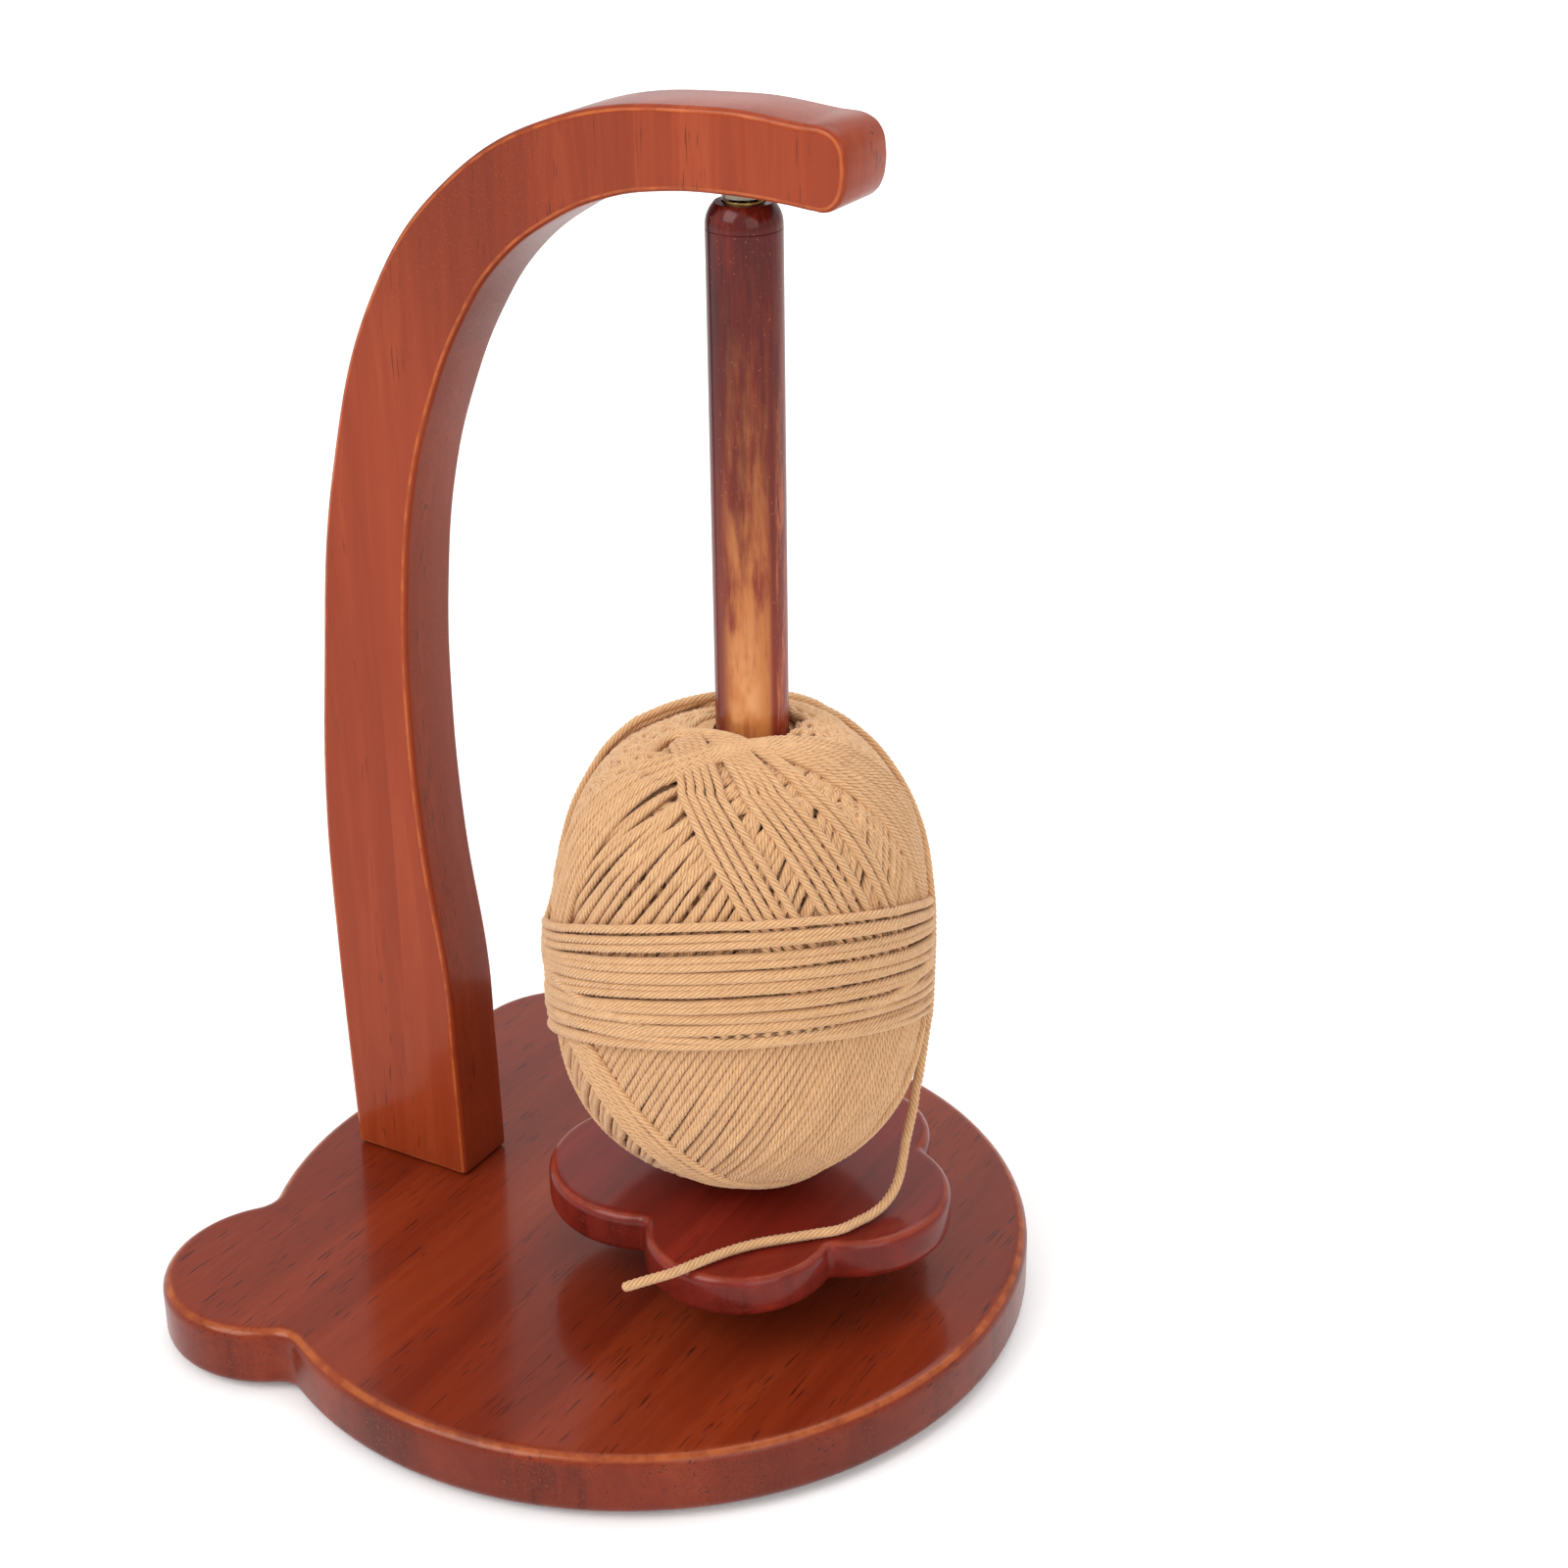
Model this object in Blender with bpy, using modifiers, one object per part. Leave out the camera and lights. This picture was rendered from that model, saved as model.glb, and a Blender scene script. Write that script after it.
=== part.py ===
"""A yarn ball holder: a round base with two ears, a bent wooden arm, and a post with a
flower-shaped plate that hangs from a magnet in the arm and turns with a ball of yarn.

Metres, +Z up. The origin is on the table, under the middle of the round base. The arm
stands at -X and reaches over to +X, and the whole object is alike on both sides of Y = 0
but for the plate's hand-sawn lobes and the yarn.
"""
from math import acos, atan2, cos, hypot, pi, radians, sin, sqrt

import bmesh
import bpy
from mathutils import Matrix, Vector

# Clearances and overruns
seat_gap = 0.0003           # between pieces that touch
bore_gap = 0.0004           # round a piece in its hole
cut_over = 0.002            # how far a cutter runs past what it cuts
merge_distance = 0.00001

# Base board
disc_radius = 0.100
board_thickness = 0.0166
board_edge_round = 0.0032
ear_inset = 0.0040          # how far inside the disc's edge the ears' centres lie
ear_angle = radians(42.8)   # each side of the arm's foot
ear_radius = 0.0293
ear_notch_round = 0.0070

# Rubber pads under the base
pad_radius = 0.0080
pad_height = 0.0015
pad_edge_round = 0.0004
pad_inset = 0.0135          # from the board's edge to a pad's centre, under the disc
front_pad_angle = radians(44.0)

# Arched arm
arm_foot_inset = 0.0122     # from the disc's edge to the foot's outer edge
arm_foot_width = 0.0362
arm_reach = 0.1530          # outer edge of the foot to the tip
arm_height = 0.2930
arm_thickness = 0.0190
arm_edge_round = 0.0014
arm_tip_depth = 0.0179      # depth of the arm over the magnet

# The arm's sawn outline, as shares of its reach and its height, from the foot's outer corner
arm_outer_shares = [(-0.0115, 0.216), (-0.0105, 0.345), (0.0098, 0.472), (0.0660, 0.669), (0.1690, 0.822),
                    (0.3140, 0.9185), (0.5200, 0.981), (0.7830, 1.0015), (0.9250, 0.9975)]
arm_nose_shares = [(0.9765, 0.9942), (0.9935, 0.9860), (0.9996, 0.9730), (0.9993, 0.9601), (0.9941, 0.9485),
                   (0.9830, 0.9399), (0.9660, 0.9353), (0.9464, 0.9355), (0.9020, 0.9375)]
arm_inner_shares = [(0.6980, 0.9352), (0.6111, 0.9256), (0.5072, 0.9007), (0.4085, 0.8604),
                    (0.3353, 0.8078), (0.2745, 0.7423), (0.2268, 0.6666), (0.1954, 0.5608),
                    (0.1863, 0.4515), (0.1961, 0.3287), (0.2275, 0.1956), (0.2310, 0.1300)]

# Screws that hold the arm to the base, and the threaded inserts they run into
arm_screw_spacing = 0.0190
arm_screw_radius = 0.0025
arm_screw_length = 0.0300
arm_screw_head_radius = 0.00475
arm_screw_head_height = 0.0033
arm_screw_recess = 0.0055   # depth of the head's seat in the board
arm_screw_head_gap = 0.0008
arm_screw_edge_share = 0.45   # of the head's height that is its straight edge
arm_screw_crown_share = 0.80  # of the head's radius, where its crown turns down
insert_radius = 0.0036
insert_length = 0.0130
insert_sink = 0.0006        # how far the insert lies above the foot
insert_grooves = 4
cross_slot_width = 0.0011   # cross recess in a screw's head
cross_slot_length = 0.0050
cross_slot_depth = 0.0014

# Magnet in the arm's tip
spindle_x = 0.0350          # the axis that the post turns on
pot_radius = 0.0048
pot_wall = 0.0010
pot_length = 0.0070
pot_proud = 0.0021          # how far the pot stands out of the arm
magnet_length = 0.0045

# Pivot: a steel ball in a brass cup on top of the post
pivot_ball_radius = 0.0016
cup_radius = 0.0045
cup_wall = 0.0011
cup_floor = 0.0013
cup_proud = 0.0006
cup_screw_head_radius = 0.0021
cup_screw_head_height = 0.0010
cup_screw_radius = 0.0011
cup_screw_length = 0.0100

# Post
post_radius = 0.0086
post_top_round = 0.0070     # of the shoulder round the post's flat top
post_flat_radius = 0.0065
post_end_chamfer = 0.0008

# Flower plate
# Each lobe is sawn by hand: its turn, how far its centre lies from the post, and its radius
plate_lobes = [(6.2, 0.0241, 0.0259), (71.3, 0.0262, 0.0242), (136.5, 0.0264, 0.0246),
               (201.6, 0.0264, 0.0276), (290.2, 0.0273, 0.0234)]
lobe_notch_round = 0.0022
plate_thickness = 0.0110
plate_edge_round = 0.0026
plate_hover = 0.0158        # gap from the base up to the plate
plate_socket = 0.0070       # depth of the post's seat in the plate
plate_screw_radius = 0.0020
plate_screw_length = 0.0240
plate_screw_head_radius = 0.0040
plate_screw_head_height = 0.0024
plate_screw_point = 0.0030

# Yarn
yarn_diameter = 0.0028
yarn_layer_gap = 0.0007     # between layers of strands
yarn_ball_radius = 0.0470   # over the waist band
yarn_ball_height = 0.1190
yarn_ball_squareness = 2.9  # 2 is an ellipse, more is boxier
yarn_aside = 0.0035         # the ball sits this far off the post's axis, to the left of its front
yarn_hole_gap = 0.0006      # round the post
winding_pitch = 0.0046
winding_loops = 9
winding_lean = radians(50.0)
cross_loops = 6
cross_lean = radians(-45.0)
band_pitch = 0.0033
band_loops = 8
band_drop = 0.0017          # below the ball's middle
band_lean = radians(18.0)
front_angle = radians(-59.7)  # the side of the ball that the windings are set out from
loop_points = 24

# The tail's route, chosen by hand: off the band, down beside the ball and over the plate
tail_route = [(0.0730, 0.0170, 0.0871), (0.0725, 0.0167, 0.0818), (0.0719, 0.0160, 0.0745),
              (0.0715, 0.0149, 0.0701), (0.0717, 0.0133, 0.0660), (0.0718, 0.0111, 0.0621),
              (0.0722, 0.0084, 0.0587), (0.0728, 0.0058, 0.0552), (0.0734, 0.0028, 0.0520),
              (0.0735, -0.0006, 0.0496), (0.0730, -0.0048, 0.0480), (0.0717, -0.0088, 0.0471),
              (0.0703, -0.0121, 0.0469), (0.0680, -0.0176, 0.0469), (0.0639, -0.0219, 0.0469),
              (0.0589, -0.0269, 0.0469), (0.0538, -0.0321, 0.0469), (0.0494, -0.0381, 0.0469),
              (0.0456, -0.0452, 0.0469), (0.0421, -0.0525, 0.0469), (0.0380, -0.0587, 0.0469),
              (0.0349, -0.0635, 0.0469)]
tail_steps = 2              # points read from the curve between two of the route

# Counts
arc_step = radians(9.0)
turn_steps = 32
small_turn_steps = 20
core_rows = 16
edge_segments = 2

# Heights and places that follow from the sizes above
board_bottom = pad_height + seat_gap
board_top = board_bottom + board_thickness
ear_ring_radius = disc_radius - ear_inset
foot_bottom = board_top + seat_gap
arm_foot_back = arm_foot_inset - disc_radius
foot_middle = arm_foot_back + arm_foot_width / 2
seat_height = foot_bottom + arm_height - arm_tip_depth
pot_mouth = seat_height - pot_proud
cup_rim = pot_mouth - seat_gap
post_top = cup_rim - cup_proud
ball_centre = cup_rim - pivot_ball_radius
cup_floor_top = ball_centre - pivot_ball_radius - seat_gap
cup_bottom = cup_floor_top - cup_floor
plate_bottom = board_top + plate_hover
plate_top = plate_bottom + plate_thickness
post_bottom = plate_top - plate_socket + seat_gap
yarn_radius = yarn_diameter / 2
layer_step = yarn_diameter + yarn_layer_gap
band_radius = yarn_ball_radius - yarn_radius
cross_radius = band_radius - layer_step
winding_radius = cross_radius - layer_step
core_radius = winding_radius - yarn_radius - yarn_layer_gap
core_half_height = yarn_ball_height / 2
yarn_middle = plate_top + seat_gap + core_half_height
yarn_hole_radius = post_radius + yarn_hole_gap
upwards = Vector((0, 0, 1))
ball_front = Vector((cos(front_angle), sin(front_angle), 0))
ball_across = Vector((-ball_front.y, ball_front.x, 0))
ball_middle = Vector((spindle_x, 0, yarn_middle)) - ball_across * yarn_aside
screw_bottom = board_bottom + arm_screw_recess - arm_screw_head_height


def clear_scene():
    for thing in list(bpy.data.objects):
        bpy.data.objects.remove(thing)


def new_collection(name):
    collection = bpy.data.collections.new(name)
    bpy.context.scene.collection.children.link(collection)
    return collection


def finish_material(name, colour, roughness, metallic=0.0):
    material = bpy.data.materials.new(name)
    material.use_nodes = True
    shader = material.node_tree.nodes["Principled BSDF"]
    shader.inputs["Base Color"].default_value = (*colour, 1.0)
    shader.inputs["Roughness"].default_value = roughness
    shader.inputs["Metallic"].default_value = metallic
    material.diffuse_color = (*colour, 1.0)
    return material


def add_part(name, mesh, material, smooth_angle=radians(40.0)):
    """A named sub-part in the holder's collection."""
    part = bpy.data.objects.new(name, mesh)
    holder.objects.link(part)
    mesh.materials.clear()
    mesh.materials.append(material)
    mesh.shade_smooth()
    mesh.set_sharp_from_angle(angle=smooth_angle)
    return part


def add_cutter(name, mesh):
    cutter = bpy.data.objects.new(name, mesh)
    cutters.objects.link(cutter)
    cutter.hide_render = True
    cutter.display_type = 'WIRE'
    return cutter


def cut(part, cutter):
    boolean = part.modifiers.new("cut_" + cutter.name, 'BOOLEAN')
    boolean.operation = 'DIFFERENCE'
    boolean.solver = 'EXACT'
    boolean.object = cutter


def round_edges(part, width, segments=edge_segments):
    """Rounds the square edges of an outline's two faces."""
    bevel = part.modifiers.new("rounded_edges", 'BEVEL')
    bevel.width = width
    bevel.segments = segments
    bevel.limit_method = 'ANGLE'
    bevel.angle_limit = radians(65.0)


def as_mesh(guide, name):
    """The mesh of a curve object, with its caps welded on. The curve is removed."""
    graph = bpy.context.evaluated_depsgraph_get()
    mesh = bpy.data.meshes.new_from_object(guide.evaluated_get(graph))
    mesh.name = name
    mesh.transform(guide.matrix_world)
    welded = bmesh.new()
    welded.from_mesh(mesh)
    bmesh.ops.remove_doubles(welded, verts=welded.verts, dist=merge_distance)
    welded.to_mesh(mesh)
    welded.free()
    bpy.data.objects.remove(guide)
    return mesh


def new_curve(name, dimensions):
    curve = bpy.data.curves.new(name, 'CURVE')
    curve.dimensions = dimensions
    guide = bpy.data.objects.new(name, curve)
    cutters.objects.link(guide)
    return curve, guide


def flat_curve(name, thickness):
    curve, guide = new_curve(name, '2D')
    curve.fill_mode = 'BOTH'
    curve.extrude = thickness / 2
    return curve, guide


def flat_mesh(name, outline, thickness, bottom):
    """A board with the given closed outline, from bottom upwards."""
    curve, guide = flat_curve(name, thickness)
    spline = curve.splines.new('POLY')
    spline.points.add(len(outline) - 1)
    for point, (x, y) in zip(spline.points, outline):
        point.co = (x, y, 0, 1)
    spline.use_cyclic_u = True
    guide.location.z = bottom + thickness / 2
    bpy.context.view_layer.update()
    return as_mesh(guide, name)


def tube_mesh(name, points, radius, sides_setting):
    """A round tube with filled caps along the points."""
    curve, guide = new_curve(name, '3D')
    curve.bevel_depth = radius
    curve.bevel_resolution = sides_setting
    curve.use_fill_caps = True
    spline = curve.splines.new('POLY')
    spline.points.add(len(points) - 1)
    for point, place in zip(spline.points, points):
        point.co = (*place, 1)
    return as_mesh(guide, name)


def turned_mesh(name, profile, steps=turn_steps, centre=(0, 0)):
    """A profile of (radius, height) points, turned round a vertical axis.

    The profile runs down its outer side. The finished mesh is moved onto the axis.
    """
    mesh = bpy.data.meshes.new(name + "_profile")
    edges = [(i, i + 1) for i in range(len(profile) - 1)]
    mesh.from_pydata([(radius, 0, height) for radius, height in profile], edges, [])
    guide = bpy.data.objects.new(name, mesh)
    cutters.objects.link(guide)
    screw = guide.modifiers.new("turn", 'SCREW')
    screw.steps = steps
    screw.render_steps = steps
    screw.use_merge_vertices = True
    screw.merge_threshold = merge_distance
    turned = as_mesh(guide, name)
    turned.transform(Matrix.Translation((*centre, 0)))
    return turned


def closed_profile(points):
    """The same profile with its first point again at its end, for a ring."""
    return points + points[:1]


def arc_points(centre, radius, start, end, step=arc_step):
    """Points along an arc from one angle to another, ends included."""
    count = max(2, round(abs(end - start) / step))
    angles = [start + (end - start) * i / count for i in range(count + 1)]
    return [(centre[0] + radius * cos(a), centre[1] + radius * sin(a)) for a in angles]


def lobed_outline(discs, notch_round):
    """The outline round overlapping discs, each (centre, radius), with round notches.

    The discs follow each other anticlockwise, and each overlaps the next. The notch's
    arc touches both: its centre is one notch radius away from each.
    """
    notches = []
    for (first, first_radius), (second, second_radius) in zip(discs, discs[1:] + discs[:1]):
        apart = (second - first).length
        to_first = first_radius + notch_round
        to_second = second_radius + notch_round
        along = (apart ** 2 + to_first ** 2 - to_second ** 2) / (2 * apart)
        out = sqrt(to_first ** 2 - along ** 2)
        way = (second - first) / apart
        notches.append(first + way * along + Vector((way.y, -way.x)) * out)
    outline = []
    for i, (centre, radius) in enumerate(discs):
        arrive = notches[i - 1] - centre
        leave = notches[i] - centre
        start = atan2(arrive.y, arrive.x)
        sweep = (atan2(leave.y, leave.x) - start) % (2 * pi)
        outline += arc_points(centre, radius, start, start + sweep)[1:-1]
        back = centre - notches[i]
        onward = discs[(i + 1) % len(discs)][0] - notches[i]
        start = atan2(back.y, back.x)
        sweep = (start - atan2(onward.y, onward.x)) % (2 * pi)
        notch_step = arc_step * 3
        outline += arc_points(notches[i], notch_round, start, start - sweep, notch_step)
    return outline


def on_circle(angle, radius):
    return Vector((cos(angle), sin(angle))) * radius


def ear_places():
    """The middles of the two ears, anticlockwise."""
    return [on_circle(pi - side * ear_angle, ear_ring_radius) for side in (1, -1)]


def base_outline():
    """Disc, ear, the disc's short stretch at the arm's foot, and the other ear."""
    disc = (Vector((0, 0)), disc_radius)
    first_ear, second_ear = [(place, ear_radius) for place in ear_places()]
    return lobed_outline([disc, first_ear, disc, second_ear], ear_notch_round)


def screw_places():
    return [foot_middle - arm_screw_spacing / 2, foot_middle + arm_screw_spacing / 2]


def make_base(wood):
    mesh = flat_mesh("base_board", base_outline(), board_thickness, board_bottom)
    board = add_part("base_board", mesh, wood)
    round_edges(board, board_edge_round)
    for i, x in enumerate(screw_places()):
        shank = arm_screw_radius + bore_gap
        head = arm_screw_head_radius + arm_screw_head_gap
        step = board_bottom + arm_screw_recess
        hole = [(0, board_top + cut_over), (shank, board_top + cut_over), (shank, step),
                (head, step), (head, board_bottom - cut_over), (0, board_bottom - cut_over)]
        name = f"screw_hole_{i + 1}"
        cut(board, add_cutter(name, turned_mesh(name, hole, small_turn_steps, (x, 0))))


def pad_places():
    """Two pads under the ears and two under the disc's front."""
    ring = disc_radius - pad_inset
    return ear_places() + [on_circle(side * front_pad_angle, ring) for side in (1, -1)]


def make_pads(rubber):
    for i, place in enumerate(pad_places()):
        rounding = pad_edge_round
        profile = [(0, pad_height), (pad_radius, pad_height), (pad_radius, rounding),
                   (pad_radius - rounding, 0), (0, 0)]
        name = f"foot_pad_{i + 1}"
        add_part(name, turned_mesh(name, profile, small_turn_steps, place), rubber)


def arm_place(share_x, share_z):
    return (arm_foot_back + arm_reach * share_x, foot_bottom + arm_height * share_z)


def arm_mesh():
    """The arm's sawn outline as a smooth curve with two square corners at the foot."""
    curve, guide = flat_curve("arch_arm", arm_thickness)
    smooth = [arm_place(*share) for share in arm_outer_shares + arm_nose_shares]
    smooth.append((spindle_x, seat_height))
    smooth += [arm_place(*share) for share in arm_inner_shares]
    outer_corner = (arm_foot_back, foot_bottom)
    inner_corner = (arm_foot_back + arm_foot_width, foot_bottom)
    knots = [outer_corner] + smooth + [inner_corner]
    spline = curve.splines.new('BEZIER')
    spline.bezier_points.add(len(knots) - 1)
    for knot, (x, z) in zip(spline.bezier_points, knots):
        knot.co = (x, z, 0)
        corner = (x, z) in (outer_corner, inner_corner)
        knot.handle_left_type = 'VECTOR' if corner else 'AUTO'
        knot.handle_right_type = 'VECTOR' if corner else 'AUTO'
    spline.use_cyclic_u = True
    spline.resolution_u = 4
    guide.rotation_euler = (pi / 2, 0, 0)
    bpy.context.view_layer.update()
    return as_mesh(guide, "arch_arm")


def make_arm(wood):
    arm = add_part("arch_arm", arm_mesh(), wood)
    round_edges(arm, arm_edge_round)
    bore = insert_radius + bore_gap
    screw_end = board_bottom + arm_screw_recess + arm_screw_length
    deep = screw_end + seat_gap * 2
    for i, x in enumerate(screw_places()):
        insert_top = foot_bottom + insert_sink + insert_length + seat_gap
        narrow = arm_screw_radius + bore_gap
        hole = [(0, deep), (narrow, deep), (narrow, insert_top), (bore, insert_top),
                (bore, foot_bottom - cut_over), (0, foot_bottom - cut_over)]
        name = f"insert_hole_{i + 1}"
        cut(arm, add_cutter(name, turned_mesh(name, hole, small_turn_steps, (x, 0))))
    pocket_top = pot_mouth + pot_length + seat_gap
    pocket = pot_radius + bore_gap
    hole = [(0, pocket_top), (pocket, pocket_top), (pocket, pot_mouth - cut_over), (0, pot_mouth - cut_over)]
    mesh = turned_mesh("magnet_pocket", hole, small_turn_steps, (spindle_x, 0))
    cut(arm, add_cutter("magnet_pocket", mesh))


def cross_bar(name, mouth):
    """One bar of the cross in a screw's head, from below its mouth upwards."""
    shape = bmesh.new()
    depth = cross_slot_depth + cut_over
    middle = mouth + cross_slot_depth - depth / 2
    size = Matrix.Diagonal((cross_slot_length, cross_slot_width, depth, 1))
    bmesh.ops.create_cube(shape, size=1, matrix=Matrix.Translation((0, 0, middle)) @ size)
    mesh = bpy.data.meshes.new(name)
    shape.to_mesh(mesh)
    shape.free()
    return mesh


def cut_cross(screw, name, x, mouth):
    for i in range(2):
        mesh = cross_bar(name, mouth)
        mesh.transform(Matrix.Translation((x, 0, 0)) @ Matrix.Rotation(i * pi / 2, 4, 'Z'))
        cut(screw, add_cutter(f"{name}_{i + 1}", mesh))


def pan_head_screw(head_top):
    """The profile of a screw whose head is below, from its tip down."""
    tip = head_top + arm_screw_length
    chamfer = arm_screw_radius / 3
    edge = screw_bottom + arm_screw_head_height * arm_screw_edge_share
    crown = arm_screw_head_radius * arm_screw_crown_share
    crown_height = (edge + screw_bottom * 3) / 4
    shank = [(0, tip), (arm_screw_radius - chamfer, tip), (arm_screw_radius, tip - chamfer),
             (arm_screw_radius, head_top)]
    head = [(arm_screw_head_radius, head_top), (arm_screw_head_radius, edge), (crown, crown_height),
            (arm_screw_head_radius / 2, screw_bottom), (0, screw_bottom)]
    return shank + head


def insert_sleeve(bottom):
    """The profile of a threaded insert: a sleeve with grooves round its outside."""
    top = bottom + insert_length
    hollow = arm_screw_radius + bore_gap
    shallow = insert_radius - bore_gap
    groove = insert_length / (insert_grooves * 2 + 1)
    ring = [(hollow, top), (shallow, top), (insert_radius, top - groove)]
    for i in range(1, insert_grooves * 2 - 1, 2):
        crest = top - groove * i
        ring += [(insert_radius, crest), (shallow, crest - groove / 2), (insert_radius, crest - groove)]
    return ring + [(insert_radius, bottom), (hollow, bottom)]


def make_arm_screws(steel, brass):
    """Pan-head machine screws from below the base into threaded inserts in the arm's foot."""
    head_top = screw_bottom + arm_screw_head_height
    for x, side in zip(screw_places(), ("outer", "inner")):
        name = "arm_screw_" + side
        screw = add_part(name, turned_mesh(name, pan_head_screw(head_top), small_turn_steps, (x, 0)), steel)
        cut_cross(screw, name + "_cross", x, screw_bottom)
        name = "arm_insert_" + side
        sleeve = closed_profile(insert_sleeve(foot_bottom + insert_sink))
        add_part(name, turned_mesh(name, sleeve, small_turn_steps, (x, 0)), brass)


def make_magnet(steel, magnet_finish):
    """A steel pot, open downwards, with the magnet inside."""
    axis = (spindle_x, 0)
    top = pot_mouth + pot_length
    inside = pot_radius - pot_wall
    chamfer = pot_wall / 3
    ceiling = pot_mouth + magnet_length + seat_gap * 2
    pot = [(0, top), (pot_radius - chamfer, top), (pot_radius, top - chamfer),
           (pot_radius, pot_mouth + chamfer), (pot_radius - chamfer, pot_mouth), (inside, pot_mouth),
           (inside, ceiling), (0, ceiling)]
    add_part("magnet_pot", turned_mesh("magnet_pot", pot, turn_steps, axis), steel)
    reach = inside - bore_gap
    face = pot_mouth + seat_gap
    magnet = [(0, face + magnet_length), (reach, face + magnet_length), (reach, face), (0, face)]
    add_part("arm_magnet", turned_mesh("arm_magnet", magnet, turn_steps, axis), magnet_finish)


def make_pivot(steel, brass):
    """The steel ball, the brass cup it turns in, and the screw that holds the cup."""
    axis = (spindle_x, 0)
    ball = bmesh.new()
    bmesh.ops.create_uvsphere(ball, u_segments=16, v_segments=10, radius=pivot_ball_radius)
    mesh = bpy.data.meshes.new("pivot_ball")
    ball.to_mesh(mesh)
    ball.free()
    mesh.transform(Matrix.Translation((*axis, ball_centre - seat_gap)))
    add_part("pivot_ball", mesh, steel, radians(80.0))

    inside = cup_radius - cup_wall
    lip = cup_wall / 4
    hole = cup_screw_radius + bore_gap
    sink = cup_screw_head_radius + bore_gap
    cup = [(inside, cup_rim - lip), (inside + lip, cup_rim), (cup_radius - lip, cup_rim),
           (cup_radius, cup_rim - lip), (cup_radius, cup_bottom), (hole, cup_bottom),
           (hole, cup_floor_top - cup_screw_head_height - seat_gap), (sink, cup_floor_top),
           (inside, cup_floor_top)]
    add_part("pivot_cup", turned_mesh("pivot_cup", closed_profile(cup), turn_steps, axis), brass)

    top = cup_floor_top - seat_gap
    under = top - cup_screw_head_height
    tip = top - cup_screw_length
    screw = [(0, top), (cup_screw_head_radius, top), (cup_screw_radius, under),
             (cup_screw_radius, tip + cup_screw_radius * 2), (cup_screw_radius / 4, tip), (0, tip)]
    add_part("cup_screw", turned_mesh("cup_screw", screw, small_turn_steps, axis), steel)


def make_post(wood):
    """The dowel: a round top with the cup's seat, and a screw hole up its lower end."""
    axis = (spindle_x, 0)
    seat_bottom = cup_bottom - seat_gap
    seat_radius = cup_radius + bore_gap
    pilot = cup_screw_radius + bore_gap
    pilot_bottom = cup_floor_top - seat_gap * 3 - cup_screw_length
    inset = post_radius - post_top_round
    flat_angle = acos((post_flat_radius - inset) / post_top_round)
    shoulder = (inset, post_top - post_top_round * sin(flat_angle))
    lower_bore = plate_screw_radius + bore_gap
    lower_bore_top = plate_bottom + plate_screw_length + seat_gap * 3
    profile = [(0, pilot_bottom), (pilot, pilot_bottom), (pilot, seat_bottom), (seat_radius, seat_bottom),
               (seat_radius, post_top)]
    profile += arc_points(shoulder, post_top_round, flat_angle, 0)
    profile += [(post_radius, post_bottom + post_end_chamfer), (post_radius - post_end_chamfer, post_bottom),
                (lower_bore, post_bottom), (lower_bore, lower_bore_top), (0, lower_bore_top)]
    add_part("spindle_post", turned_mesh("spindle_post", profile, turn_steps, axis), wood)


def make_plate(wood, steel):
    """The flower plate, its socket for the post, and the screw that holds it from below."""
    axis = Vector((spindle_x, 0))
    lobes = [(axis + on_circle(radians(turn), ring), radius) for turn, ring, radius in plate_lobes]
    outline = lobed_outline(lobes, lobe_notch_round)
    mesh = flat_mesh("flower_plate", outline, plate_thickness, plate_bottom)
    plate = add_part("flower_plate", mesh, wood)
    round_edges(plate, plate_edge_round)
    socket = post_radius + bore_gap
    floor = post_bottom - seat_gap
    head = plate_screw_head_radius + bore_gap
    shank = plate_screw_radius + bore_gap
    under = plate_bottom + plate_screw_head_height + seat_gap * 2
    above, below = plate_top + cut_over, plate_bottom - cut_over
    hole = [(0, above), (socket, above), (socket, floor), (shank, floor), (shank, under),
            (head, plate_bottom), (head, below), (0, below)]
    cut(plate, add_cutter("plate_hole", turned_mesh("plate_hole", hole, turn_steps, axis)))

    face = plate_bottom + seat_gap
    tip = face + plate_screw_length
    screw = [(0, tip), (plate_screw_radius / 4, tip), (plate_screw_radius, tip - plate_screw_point),
             (plate_screw_radius, face + plate_screw_head_height), (plate_screw_head_radius, face), (0, face)]
    fastener = add_part("plate_screw", turned_mesh("plate_screw", screw, small_turn_steps, axis), steel)
    cut_cross(fastener, "plate_screw_cross", spindle_x, face)


def ball_outline(radius, half_height, angle):
    """A point (radius, height) of the ball's boxy oval outline, for an angle from its equator."""
    power = 2 / yarn_ball_squareness
    across = abs(cos(angle)) ** power
    up = abs(sin(angle)) ** power
    return radius * across, half_height * up * (1 if angle > 0 else -1)


def make_core(yarn):
    """The plain core under the windings, with the hole that the post goes through."""
    angles = [pi / 2 - pi * i / core_rows for i in range(1, core_rows)]
    side = [ball_outline(core_radius, core_half_height, angle) for angle in angles]
    outline = [(0, core_half_height)] + side + [(0, -core_half_height)]
    profile = [(radius, yarn_middle + height) for radius, height in outline]
    core = add_part("yarn_core", turned_mesh("yarn_core", profile, turn_steps, ball_middle.xy), yarn)
    reach = core_half_height + cut_over
    hole = [(0, yarn_middle + reach), (yarn_hole_radius, yarn_middle + reach),
            (yarn_hole_radius, yarn_middle - reach), (0, yarn_middle - reach)]
    cut(core, add_cutter("yarn_hole", turned_mesh("yarn_hole", hole, turn_steps, (spindle_x, 0))))


def ball_surface(place, radius, half_height):
    """Less than 1 inside the boxy oval ball, 1 on it, more outside."""
    across = hypot(place.x, place.y) / radius
    return across ** yarn_ball_squareness + (abs(place.z) / half_height) ** yarn_ball_squareness


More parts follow.
